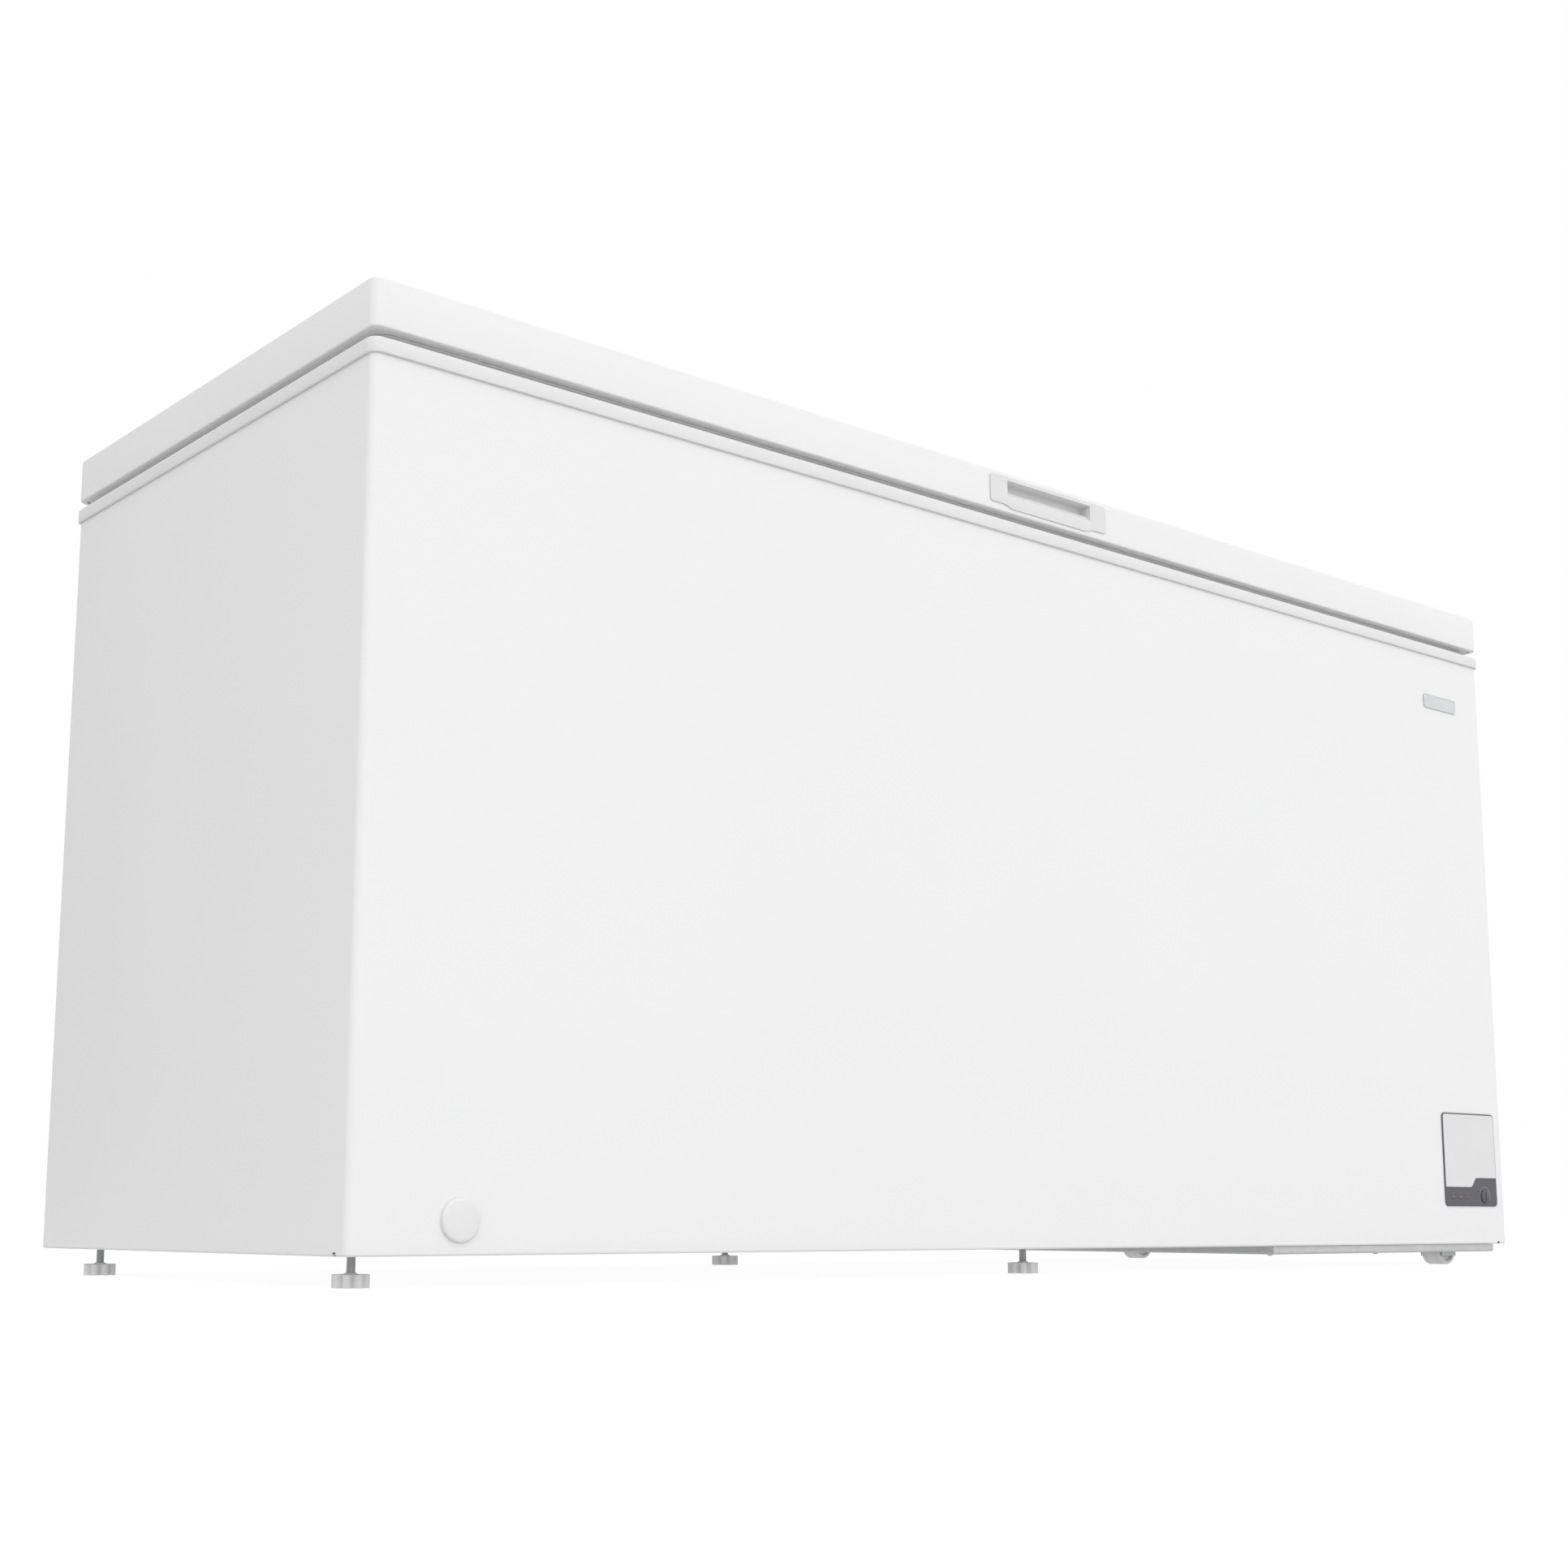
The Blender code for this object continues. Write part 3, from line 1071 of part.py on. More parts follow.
def make_grille():
    """Slotted vent for the machine room, in the right side wall."""
    e = GRILLE_EDGE
    frame = rounded_rectangle(GRILLE_Y - e, GRILLE_Y + GRILLE_L + e,
                              GRILLE_Z - e, GRILLE_Z + GRILLE_H + e, 0.006)
    pitch = GRILLE_L / GRILLE_SLOTS
    slots = []
    for index in range(GRILLE_SLOTS):
        middle = GRILLE_Y + pitch * (index + 0.5)
        slots.append(rounded_rectangle(middle - pitch * 0.28, middle + pitch * 0.28,
                                       GRILLE_Z + 0.005, GRILLE_Z + GRILLE_H - 0.005, pitch * 0.2, 1))
    mesh = plate_mesh([frame, *slots], CABINET_W + GAP, CABINET_W + GAP + GRILLE_T, "X")
    return place("vent_grille", mesh, WHITE_PLASTIC)


def make_cord_gland():
    """Grommet for the mains lead in the rear panel."""
    return turned("cord_gland",
                  [(GLAND_R * 0.45, 0.008), (GLAND_R * 0.7, 0.008), (GLAND_R * 0.95, 0.003),
                   (GLAND_R + 0.004, 0.003), (GLAND_R + 0.004, 0), (GLAND_R, 0), (GLAND_R, -0.006),
                   (GLAND_R * 0.45, -0.006)],
                  BLACK_PLASTIC, at=(GLAND_X, REAR_FACE + GAP, GLAND_Z), turn=(-math.pi / 2, 0, 0),
                  sides=20, ring=True)


# ---------------------------------------------------------------- baskets


def make_basket(side, x0):
    """Hanging basket: a tub, and a rim that rests on the collar's ledge at the front and the rear."""
    rim_low = COLLAR_TOP - COLLAR_LIP + LEDGE_T + GAP
    top, low = rim_low - GAP, rim_low - BASKET_H
    x1, y0 = x0 + BASKET_L, LIP_IN + LEDGE_W + BASKET_PLAY
    y1, wall = CABINET_D - y0, BASKET_T
    body = round_edges(box_mesh((x0, y0, low), (x1, y1, top)),
                       lambda a, b: min(a.z, b.z) < top - 0.001, wall * 2, 2)
    basket = place("basket_" + side, body, WHITE_PLASTIC)
    cut(basket, helper("basket_inside_" + side, box_mesh(
        (x0 + wall, y0 + wall, low + wall), (x1 - wall, y1 - wall, top + 0.01))))
    rest = LIP_IN + BASKET_RIM_PLAY
    outline = rounded_rectangle(x0 - BASKET_RIM_OUT, x1 + BASKET_RIM_OUT, rest, CABINET_D - rest, 0.010, 3)
    mouth = rounded_rectangle(x0 + wall, x1 - wall, y0 + wall, y1 - wall, 0.001, 1)
    smooth(place(f"basket_{side}_rim", plate_mesh([outline, mouth], rim_low, rim_low + wall), WHITE_PLASTIC))
    return smooth(basket)


# ---------------------------------------------------------------- assembly

make_outer_wrap()
make_rear_panel()
make_bottom_panel()
make_machine_room_panel()
make_base_pan()
make_inner_liner()
make_foam()
make_evaporator()
make_condenser()
make_top_collar()
make_lid_skin()
make_lid_foam()
make_lid_liner()
make_gasket()
make_lid_grip()
for hinge_side, hinge_x in hinge_places().items():
    make_hinge(hinge_side, hinge_x)
make_control_panel()
make_badge()
make_drain()
make_feet()
make_rollers()
make_compressor()
make_grille()
make_cord_gland()
make_basket("left", BASKET_END)
make_basket("right", CABINET_W - BASKET_END - BASKET_L)
bpy.context.view_layer.update()
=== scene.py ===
# %% [markdown]
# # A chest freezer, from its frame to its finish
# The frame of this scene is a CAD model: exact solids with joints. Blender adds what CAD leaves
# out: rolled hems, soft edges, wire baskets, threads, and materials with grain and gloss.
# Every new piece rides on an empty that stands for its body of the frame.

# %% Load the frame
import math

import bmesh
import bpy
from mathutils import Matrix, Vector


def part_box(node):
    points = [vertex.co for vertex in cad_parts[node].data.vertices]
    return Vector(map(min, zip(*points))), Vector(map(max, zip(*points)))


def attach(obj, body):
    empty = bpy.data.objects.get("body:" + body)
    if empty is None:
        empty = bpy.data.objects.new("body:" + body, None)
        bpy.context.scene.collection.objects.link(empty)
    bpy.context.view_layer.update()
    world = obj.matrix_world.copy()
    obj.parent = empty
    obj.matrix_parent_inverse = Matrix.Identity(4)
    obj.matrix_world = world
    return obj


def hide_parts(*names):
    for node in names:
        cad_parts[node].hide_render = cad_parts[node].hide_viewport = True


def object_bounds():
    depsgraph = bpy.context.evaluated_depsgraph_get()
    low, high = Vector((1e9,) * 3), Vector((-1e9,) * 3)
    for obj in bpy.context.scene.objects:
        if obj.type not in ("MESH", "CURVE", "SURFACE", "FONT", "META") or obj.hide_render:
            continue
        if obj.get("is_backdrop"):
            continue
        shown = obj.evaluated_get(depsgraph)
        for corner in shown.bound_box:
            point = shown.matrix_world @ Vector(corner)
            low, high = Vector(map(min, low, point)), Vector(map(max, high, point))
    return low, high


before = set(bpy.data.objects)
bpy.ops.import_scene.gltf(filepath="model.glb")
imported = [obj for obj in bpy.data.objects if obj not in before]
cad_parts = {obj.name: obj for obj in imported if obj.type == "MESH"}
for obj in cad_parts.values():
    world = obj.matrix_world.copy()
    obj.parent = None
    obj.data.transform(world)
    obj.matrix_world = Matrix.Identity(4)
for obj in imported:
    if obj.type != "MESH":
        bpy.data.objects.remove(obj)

# %% [markdown]
# ## Tools and sizes
# All places are read from the frame's own boxes, in metres. The floor is at z = 0, the front
# faces -Y and the hinges are at the rear. The box of the whole object is kept now, and measured
# again at the end, because the looks must not make the freezer larger.

scene = bpy.context.scene
CAD_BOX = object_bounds()
WALL_LOW, WALL_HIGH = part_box("outer_wrap")
COLLAR_LOW, COLLAR_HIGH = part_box("top_collar")
LID_LOW, LID_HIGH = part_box("lid_skin")
MIDDLE_X = (LID_LOW.x + LID_HIGH.x) / 2
SHEET = 0.001
CORNER_R = 0.008
print("cabinet", [round(v, 4) for v in WALL_HIGH - WALL_LOW])
print("lid", [round(v, 4) for v in LID_HIGH - LID_LOW])

# %% [markdown]
# ## The camera
# A wide object seen from a low, near point shows strong perspective. The camera stands just above
# the floor and looks slightly up. Its turn is given as yaw and pitch, and a small shift of the
# lens frames the object without tilting the upright edges further.

# %% Place the camera
CAMERA_AT = Vector((-1.7122, -1.8489, 0.0582))
YAW = math.radians(39.741)
PITCH = math.radians(9.311)
ROLL = math.radians(0.10)

looking = Vector((math.sin(YAW) * math.cos(PITCH), math.cos(YAW) * math.cos(PITCH), math.sin(PITCH)))
level = looking.cross(Vector((0, 0, 1))).normalized()
upright = level.cross(looking)
right = level * math.cos(ROLL) + upright * math.sin(ROLL)
above = upright * math.cos(ROLL) - level * math.sin(ROLL)
turn = Matrix((right, above, -looking)).transposed()

lens = bpy.data.cameras.new("camera")
lens.lens = 49.80
lens.sensor_width = 36
lens.shift_x = 0.0279
lens.shift_y = 0.0491
lens.clip_end = 200
camera = bpy.data.objects.new("camera", lens)
camera.matrix_world = Matrix.Translation(CAMERA_AT) @ turn.to_4x4()
scene.collection.objects.link(camera)
scene.camera = camera
print("camera", [round(v, 3) for v in CAMERA_AT])

# %% [markdown]
# ## Shader nodes in few words
# Materials here are built from nodes. Small helpers keep that readable: `node` adds a node with its
# settings and inputs, where an input is a value or another node's output, `maths` adds one
# arithmetic step, and `ramp` carries a value from one range to another.


# %% Helpers for nodes
def node(tree, kind, inputs=None, **settings):
    """Adds a node. An input is a value, or a socket to be linked."""
    made = tree.nodes.new("ShaderNode" + kind)
    for name, value in settings.items():
        setattr(made, name, value)
    for name, value in (inputs or {}).items():
        if isinstance(value, bpy.types.NodeSocket):
            tree.links.new(value, made.inputs[name])
        else:
            made.inputs[name].default_value = value
    return made


def maths(operation, first, *others):
    """One arithmetic step, in the tree of its first input."""
    inputs = dict(enumerate((first, *others)))
    return node(first.id_data, "Math", inputs, operation=operation).outputs[0]


def ramp(value, low, high, to_low=0.0, to_high=1.0):
    """Moves a value smoothly from one range to another."""
    inputs = {"Value": value, "From Min": low, "From Max": high, "To Min": to_low, "To Max": to_high}
    return node(value.id_data, "MapRange", inputs, interpolation_type="SMOOTHSTEP").outputs["Result"]


# %% [markdown]
# ## Light
# White goods are shot in a white room, so that every edge reads by soft shading alone. A sky that
# is brighter towards the front and the top gives clear tones: a light front, a greyer side and a
# dark gap under the lid. Its brightest part stands a little to the left, so that the rounded
# corner between front and side catches it. One gradient costs no lamps and leaves no hard shadow.
# The room itself is seen as plain white.

# %% Light the room
SKY_LEVEL = 0.90
SKY_SLOPE = 0.62
SKY_TOWARDS = Vector((-0.16, -0.88, 0.43)).normalized()

world = bpy.data.worlds.new("studio")
world.use_nodes = True
sky = world.node_tree
sky.nodes.clear()
where = node(sky, "TexCoord").outputs["Generated"]
aligned = node(sky, "VectorMath", {0: where, 1: SKY_TOWARDS}, operation="DOT_PRODUCT")
strength = maths("MULTIPLY_ADD", aligned.outputs["Value"], SKY_SLOPE, SKY_LEVEL)
soft_light = node(sky, "Background", {"Color": (1, 1, 1, 1), "Strength": strength})
seen = node(sky, "Background", {"Color": (1, 1, 1, 1), "Strength": 1.0})
is_seen = node(sky, "LightPath").outputs["Is Camera Ray"]
both = node(sky, "MixShader", {0: is_seen, 1: soft_light.outputs[0], 2: seen.outputs[0]})
node(sky, "OutputWorld", {"Surface": both.outputs[0]})
scene.world = world
scene.view_settings.view_transform = "Standard"
print("sky from", SKY_LEVEL - SKY_SLOPE, "to", SKY_LEVEL + SKY_SLOPE)

# %% [markdown]
# ## Floor
# The floor is a wide pale sheet. Most of its tone is its own soft glow, so it melts into the white
# room, and a small diffuse share takes a faint contact shadow under the freezer.

# %% Lay the floor
FLOOR_HALF = 40
FLOOR_GLOW_SEEN = 0.94
FLOOR_GLOW_CAST = 0.58
FLOOR_DIFFUSE = 0.10

floor_mesh = bpy.data.meshes.new("floor")
floor_shape = bmesh.new()
bmesh.ops.create_grid(floor_shape, x_segments=4, y_segments=4, size=FLOOR_HALF)
floor_shape.to_mesh(floor_mesh)
floor_shape.free()
floor_finish = bpy.data.materials.new("pale_floor")
floor_finish.use_nodes = True
tree = floor_finish.node_tree
tree.nodes.clear()
matt = node(tree, "BsdfDiffuse", {"Color": (FLOOR_DIFFUSE, FLOOR_DIFFUSE, FLOOR_DIFFUSE, 1)})
is_seen = node(tree, "LightPath").outputs["Is Camera Ray"]
glow = node(tree, "Emission", {"Strength": ramp(is_seen, 0, 1, FLOOR_GLOW_CAST, FLOOR_GLOW_SEEN)})
added = node(tree, "AddShader", {0: matt.outputs[0], 1: glow.outputs[0]})
node(tree, "OutputMaterial", {"Surface": added.outputs[0]})
floor_mesh.materials.append(floor_finish)
floor = bpy.data.objects.new("floor", floor_mesh)
scene.collection.objects.link(floor)
floor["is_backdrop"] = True

# %% [markdown]
# ## Shared surface effects
# Paint, moulded plastic, zinc and rubber differ in what happens below a millimetre. Each effect is
# a node group that puts out a Height for bump and a Tone or a Mask between 0 and 1. Heights are in
# millimetres. The groups read object coordinates, in metres, so grain has the same size on every
# piece. Effects are built once and placed in many materials, each time with its own values.


# %% Start an effect group
EFFECTS = {}


def effect(name, inputs, outputs=("Height", "Tone")):
    """A new node group: its tree, its inputs, its outputs and the place that is shaded."""
    tree = bpy.data.node_groups.new(name, "ShaderNodeTree")
    EFFECTS[name] = tree
    for label, value in inputs.items():
        socket = tree.interface.new_socket(label, in_out="INPUT", socket_type="NodeSocketFloat")
        socket.default_value = value
    for label in outputs:
        tree.interface.new_socket(label, in_out="OUTPUT", socket_type="NodeSocketFloat")
    given = tree.nodes.new("NodeGroupInput").outputs
    results = tree.nodes.new("NodeGroupOutput").inputs
    place = node(tree, "TexCoord").outputs["Object"]
    return tree, given, results, place


def put_out(results, **values):
    """Links each value to the group's output of that name."""
    for name, value in values.items():
        value.id_data.links.new(value, results[name])


def noise(place, scale, detail=2.0, roughness=0.5):
    inputs = {"Vector": place, "Scale": scale, "Detail": detail, "Roughness": roughness}
    return node(place.id_data, "TexNoise", inputs).outputs["Fac"]


# %% [markdown]
# Coil-coated steel sheet has a fine orange peel, a millimetre or two from crest to crest, and a
# tone that drifts very slowly from place to place.

# %% Effect: painted sheet
tree, given, results, place = effect("painted_sheet", {
    "Peel per metre": 620, "Peel height": 0.001, "Patches per metre": 5})
peel = noise(place, given["Peel per metre"], 1.0)
patches = noise(place, given["Patches per metre"], 1.0)
put_out(results, Height=maths("MULTIPLY", peel, given["Peel height"]), Tone=ramp(patches, 0.3, 0.7))

# %% [markdown]
# Moulds are spark-eroded, which leaves a pebbled grain of a few tenths of a millimetre. Two noises
# of unlike size keep it from looking regular.

# %% Effect: moulded grain
tree, given, results, place = effect("moulded_grain", {"Grain per metre": 1700, "Grain height": 0.012})
pebbles = node(tree, "TexVoronoi", {"Vector": place, "Scale": given["Grain per metre"],
                                    "Smoothness": 0.6}, feature="SMOOTH_F1")
fine = noise(place, maths("MULTIPLY", given["Grain per metre"], 2.3), 2.0)
mixed = maths("ADD", maths("MULTIPLY", pebbles.outputs["Distance"], 0.7),
              maths("MULTIPLY", fine, 0.3))
put_out(results, Height=maths("MULTIPLY", mixed, given["Grain height"]),
        Tone=ramp(noise(place, 9.0, 3.0), 0.3, 0.7))

# %% [markdown]
# Hot-dipped zinc freezes into crystals. Voronoi cells give each crystal its own tone, and a little
# noise bends their borders.

# %% Effect: zinc crystals
tree, given, results, place = effect("zinc_crystals", {"Crystals per metre": 160, "Crystal height": 0.003})
bends = node(tree, "TexNoise", {"Vector": place, "Scale": 90.0, "Detail": 1.0}).outputs["Color"]
shifted = node(tree, "VectorMath", {0: bends, 1: (0.006, 0.006, 0.006)}, operation="MULTIPLY")
moved = node(tree, "VectorMath", {0: place, 1: shifted.outputs[0]}, operation="ADD")
cells = node(tree, "TexVoronoi", {"Vector": moved.outputs[0], "Scale": given["Crystals per metre"]})
cell_tone = node(tree, "SeparateColor", {0: cells.outputs["Color"]}).outputs[0]
put_out(results, Height=maths("MULTIPLY", cell_tone, given["Crystal height"]), Tone=cell_tone)

# %% [markdown]
# Drawn wire, tube and rolled strip carry fine lines along their length. Noise that is stretched
# along one axis makes them; the three stretch inputs say along which.

# %% Effect: drawn lines
tree, given, results, place = effect("drawn_lines", {
    "Lines per metre": 900, "Line height": 0.003, "Stretch X": 1.0, "Stretch Y": 1.0, "Stretch Z": 1.0})
stretch = node(tree, "CombineXYZ", {axis: given["Stretch " + axis] for axis in "XYZ"})
squeezed = node(tree, "VectorMath", {0: place, 1: stretch.outputs[0]}, operation="MULTIPLY")
lines = noise(squeezed.outputs[0], given["Lines per metre"], 2.0)
put_out(results, Height=maths("MULTIPLY", lines, given["Line height"]),
        Tone=ramp(lines, 0.35, 0.65))

# %% [markdown]
# The tank is made of embossed aluminium, whose small dents hide the marks of ice scrapers.

# %% Effect: stucco embossing
tree, given, results, place = effect("stucco_embossing", {"Dents per metre": 110, "Dent height": 0.22})
dents = node(tree, "TexVoronoi", {"Vector": place, "Scale": given["Dents per metre"],
                                  "Smoothness": 0.5}, feature="SMOOTH_F1").outputs["Distance"]
rounded = ramp(dents, 0.15, 0.75)
put_out(results, Height=maths("MULTIPLY", rounded, given["Dent height"]), Tone=rounded)

# %% [markdown]
# Foam that was sprayed into the walls shows open cells and yellowed patches where it was cut.

# %% Effect: foam cells
tree, given, results, place = effect("foam_cells", {"Cells per metre": 700, "Cell height": 0.25})
cells = node(tree, "TexVoronoi", {"Vector": place, "Scale": given["Cells per metre"]})
depth = ramp(cells.outputs["Distance"], 0.0, 0.6)
put_out(results, Height=maths("MULTIPLY", depth, given["Cell height"]),
        Tone=ramp(noise(place, 22.0, 3.0), 0.3, 0.7))

# %% [markdown]
# Three more groups say where a surface is dusty, rubbed or handled. Dust needs a face that looks
# up. Rubbed edges are found with the Bevel node: where its rounded normal leaves the true normal,
# there is an edge. Its reach stays under the thickness of the sheet. Handling is a slow change of
# gloss, as a wiped surface has.

# %% Effects: dust, edges and handling
tree, given, results, place = effect("settled_dust", {"Amount": 0.2}, ["Mask"])
facing = node(tree, "SeparateXYZ", {0: node(tree, "NewGeometry").outputs["Normal"]}).outputs[2]
upward = ramp(facing, 0.6, 0.98)
patches = ramp(noise(place, 14.0, 4.0, 0.6), 0.25, 0.8)
put_out(results, Mask=maths("MULTIPLY", maths("MULTIPLY", upward, patches), given["Amount"]))

tree, given, results, place = effect("rubbed_edges", {"Reach": 0.0005, "Amount": 0.5}, ["Mask"])
rounded = node(tree, "Bevel", {"Radius": given["Reach"]}, samples=4).outputs[0]
true_normal = node(tree, "NewGeometry").outputs["Normal"]
agree = node(tree, "VectorMath", {0: rounded, 1: true_normal}, operation="DOT_PRODUCT")
edge = ramp(agree.outputs["Value"], 0.995, 0.85)
broken = ramp(noise(place, 160.0, 3.0), 0.3, 0.6)
put_out(results, Mask=maths("MULTIPLY", maths("MULTIPLY", edge, broken), given["Amount"]))

tree, given, results, place = effect("handling", {"Marks per metre": 7.0}, ["Mask"])
broad = noise(place, given["Marks per metre"], 3.0, 0.6)
small = noise(place, maths("MULTIPLY", given["Marks per metre"], 9.0), 2.0)
blended = maths("ADD", maths("MULTIPLY", broad, 0.7), maths("MULTIPLY", small, 0.3))
put_out(results, Mask=ramp(blended, 0.3, 0.7))
print("effects:", ", ".join(EFFECTS))

# %% [markdown]
# ## Materials
# One recipe serves every finish. The shader stays in the material, with its constant values on its
# own sockets. The surface effect drives a light change of colour and the bump, the edges and the
# dust tint the colour, and handling moves the roughness up and down a little.


# %% The recipe
def mix_colour(mask, under, over):
    """Mixes two colours. On a Mix node they are the inputs 6 and 7, and the result is output 2."""
    under, over = (ink if isinstance(ink, bpy.types.NodeSocket) else (*ink, 1) for ink in (under, over))
    return node(mask.id_data, "Mix", {"Factor": mask, 6: under, 7: over}, data_type="RGBA").outputs[2]


def placed_effect(tree, name, values):
    """Puts an effect into a tree and gives its outputs."""
    return node(tree, "Group", values, node_tree=EFFECTS[name]).outputs


DUST_COLOUR = (0.50, 0.49, 0.47)
FINISHES = {}
INK = "panel_ink"


def finish(slot, colour, other, roughness, spread, surface, values=None, dust=0.15,
           edge=None, edge_amount=0.4, **shader):
    """A material for one slot: colour and other are its two tones, spread moves the roughness."""
    made = bpy.data.materials.new("finish_" + slot)
    made.use_nodes = True
    tree = made.node_tree
    bsdf = tree.nodes["Principled BSDF"]
    for name, value in shader.items():
        bsdf.inputs[name.replace("_", " ")].default_value = value
    surface_out = placed_effect(tree, surface, values or {})
    mixed = mix_colour(surface_out["Tone"], colour, other)
    if edge:
        rubbed = placed_effect(tree, "rubbed_edges", {"Amount": edge_amount})["Mask"]
        mixed = mix_colour(rubbed, mixed, edge)
    if dust:
        dusty = placed_effect(tree, "settled_dust", {"Amount": dust})["Mask"]
        mixed = mix_colour(dusty, mixed, DUST_COLOUR)
    tree.links.new(mixed, bsdf.inputs["Base Color"])
    handled = placed_effect(tree, "handling", {})["Mask"]
    tree.links.new(ramp(handled, 0, 1, roughness - spread, roughness + spread),
                   bsdf.inputs["Roughness"])
    bump = node(tree, "Bump", {"Height": surface_out["Height"], "Distance": 0.001})
    tree.links.new(bump.outputs[0], bsdf.inputs["Normal"])
    FINISHES[slot] = made


# %% [markdown]
# The white sheet is nearly neutral. The moulded whites are a shade darker and duller, the lid grip
# and the control cover greyer again, so that the pieces part from each other without outlines.

# %% Paints and plastics
finish("white_paint", (0.835, 0.836, 0.840), (0.831, 0.832, 0.837), 0.28, 0.005, "painted_sheet",
       dust=0.05, edge=(0.80, 0.80, 0.81), edge_amount=0.3)
finish("white_plastic", (0.780, 0.780, 0.782), (0.765, 0.765, 0.768), 0.38, 0.04, "moulded_grain",
       dust=0.08, edge=(0.84, 0.84, 0.84), edge_amount=0.3)
finish("basket_coating", (0.820, 0.820, 0.825), (0.790, 0.790, 0.795), 0.34, 0.05, "painted_sheet",
       {"Peel per metre": 900, "Peel height": 0.008}, dust=0.05)
finish("grip_plastic", (0.735, 0.735, 0.738), (0.720, 0.720, 0.725), 0.40, 0.05, "moulded_grain",
       edge=(0.76, 0.76, 0.76), edge_amount=0.3, dust=0.08)
finish("cover_plastic", (0.745, 0.745, 0.753), (0.725, 0.725, 0.735), 0.34, 0.04, "moulded_grain",
       {"Grain per metre": 2600, "Grain height": 0.006}, dust=0.05)
finish("dark_plastic", (0.080, 0.077, 0.090), (0.092, 0.089, 0.103), 0.40, 0.06, "moulded_grain",
       edge=(0.14, 0.14, 0.16), edge_amount=0.5, dust=0.10)
finish(INK, (0.25, 0.25, 0.26), (0.22, 0.22, 0.23), 0.55, 0.03, "moulded_grain",
       {"Grain height": 0.002}, dust=0.0)
finish("black_plastic", (0.022, 0.022, 0.023), (0.034, 0.034, 0.035), 0.48, 0.06, "moulded_grain",
       {"Grain per metre": 1200, "Grain height": 0.03}, dust=0.25)
finish("gasket_rubber", (0.720, 0.720, 0.725), (0.690, 0.690, 0.698), 0.62, 0.06, "moulded_grain",
       {"Grain per metre": 1400, "Grain height": 0.02}, dust=0.06, Specular_IOR_Level=0.35)
finish("black_rubber", (0.024, 0.024, 0.024), (0.038, 0.038, 0.037), 0.78, 0.06, "moulded_grain",
       {"Grain per metre": 1100, "Grain height": 0.03}, dust=0.35, Specular_IOR_Level=0.3)
finish("compressor_paint", (0.018, 0.018, 0.019), (0.028, 0.028, 0.029), 0.36, 0.08, "painted_sheet",
       {"Peel per metre": 420, "Peel height": 0.02}, edge=(0.10, 0.10, 0.10), dust=0.30)
finish("insulation", (0.74, 0.63, 0.38), (0.66, 0.53, 0.29), 0.88, 0.05, "foam_cells", dust=0.0)

# %% [markdown]
# Metals take Metallic 1 and get their look from roughness. Zinc shows its crystals, wire and tube
# their drawing lines, and the tank its dents.

# %% Metals and lamps
finish("zinc_steel", (0.660, 0.665, 0.670), (0.625, 0.630, 0.637), 0.52, 0.06, "zinc_crystals",
       {"Crystal height": 0.0012}, edge=(0.64, 0.64, 0.64), dust=0.22, Metallic=1.0)
finish("spring_steel", (0.66, 0.66, 0.67), (0.58, 0.58, 0.59), 0.40, 0.07, "drawn_lines",
       {"Stretch Z": 0.05}, dust=0.15, Metallic=1.0)
finish("liner_sheet", (0.80, 0.81, 0.82), (0.73, 0.74, 0.75), 0.30, 0.05, "stucco_embossing", dust=0.0,
       Metallic=1.0)
finish("tube_aluminium", (0.64, 0.65, 0.66), (0.58, 0.59, 0.60), 0.34, 0.05, "drawn_lines",
       {"Stretch X": 0.03}, dust=0.05, Metallic=1.0)
finish("copper_tube", (0.80, 0.42, 0.28), (0.62, 0.30, 0.19), 0.34, 0.08, "drawn_lines",
       {"Stretch Z": 0.08}, dust=0.15, Metallic=1.0)
for slot, colour in (("lens_green", (0.09, 0.17, 0.11)), ("lens_orange", (0.22, 0.14, 0.08)),
                     ("lens_red", (0.20, 0.08, 0.08))):
    darker = tuple(value * 0.8 for value in colour)
    finish(slot, colour, darker, 0.14, 0.03, "moulded_grain", {"Grain height": 0.002}, dust=0.03,
           Coat_Weight=0.5)
print(len(FINISHES), "finishes")

# %% [markdown]
# ## Mesh tools
# Most of the freezer is sheet or moulding that runs round a rounded rectangle. So the main tool is
# `skin`, which joins rows of points into a surface: give it one row for each point of a profile.
# Turned pieces use the same tool with rows on circles. A subdivision surface would round the long
# flat walls too, so real fillets in the profile are the better way here.


# %% Outlines
def arc(middle_u, middle_v, radius, first, last, steps):
    """Points on an arc from the angle first to last, in degrees."""
    points = []
    for step in range(steps + 1):
        angle = math.radians(first + (last - first) * step / steps)
        points.append((middle_u + radius * math.cos(angle), middle_v + radius * math.sin(angle)))
    return points


def rounded_loop(u0, u1, v0, v1, radius, steps=8):
    """A rounded rectangle, counter-clockwise from its lower right corner."""
    points = arc(u1 - radius, v0 + radius, radius, -90, 0, steps)
    points += arc(u1 - radius, v1 - radius, radius, 0, 90, steps)
    points += arc(u0 + radius, v1 - radius, radius, 90, 180, steps)
    return points + arc(u0 + radius, v0 + radius, radius, 180, 270, steps)


# %% Surfaces through rows of points
FORWARD = (0, -1, 0)


def as_mesh(shape):
    """The shape as a mesh. The shape is used up."""
    mesh = bpy.data.meshes.new("shape")
    shape.to_mesh(mesh)
    shape.free()
    return mesh


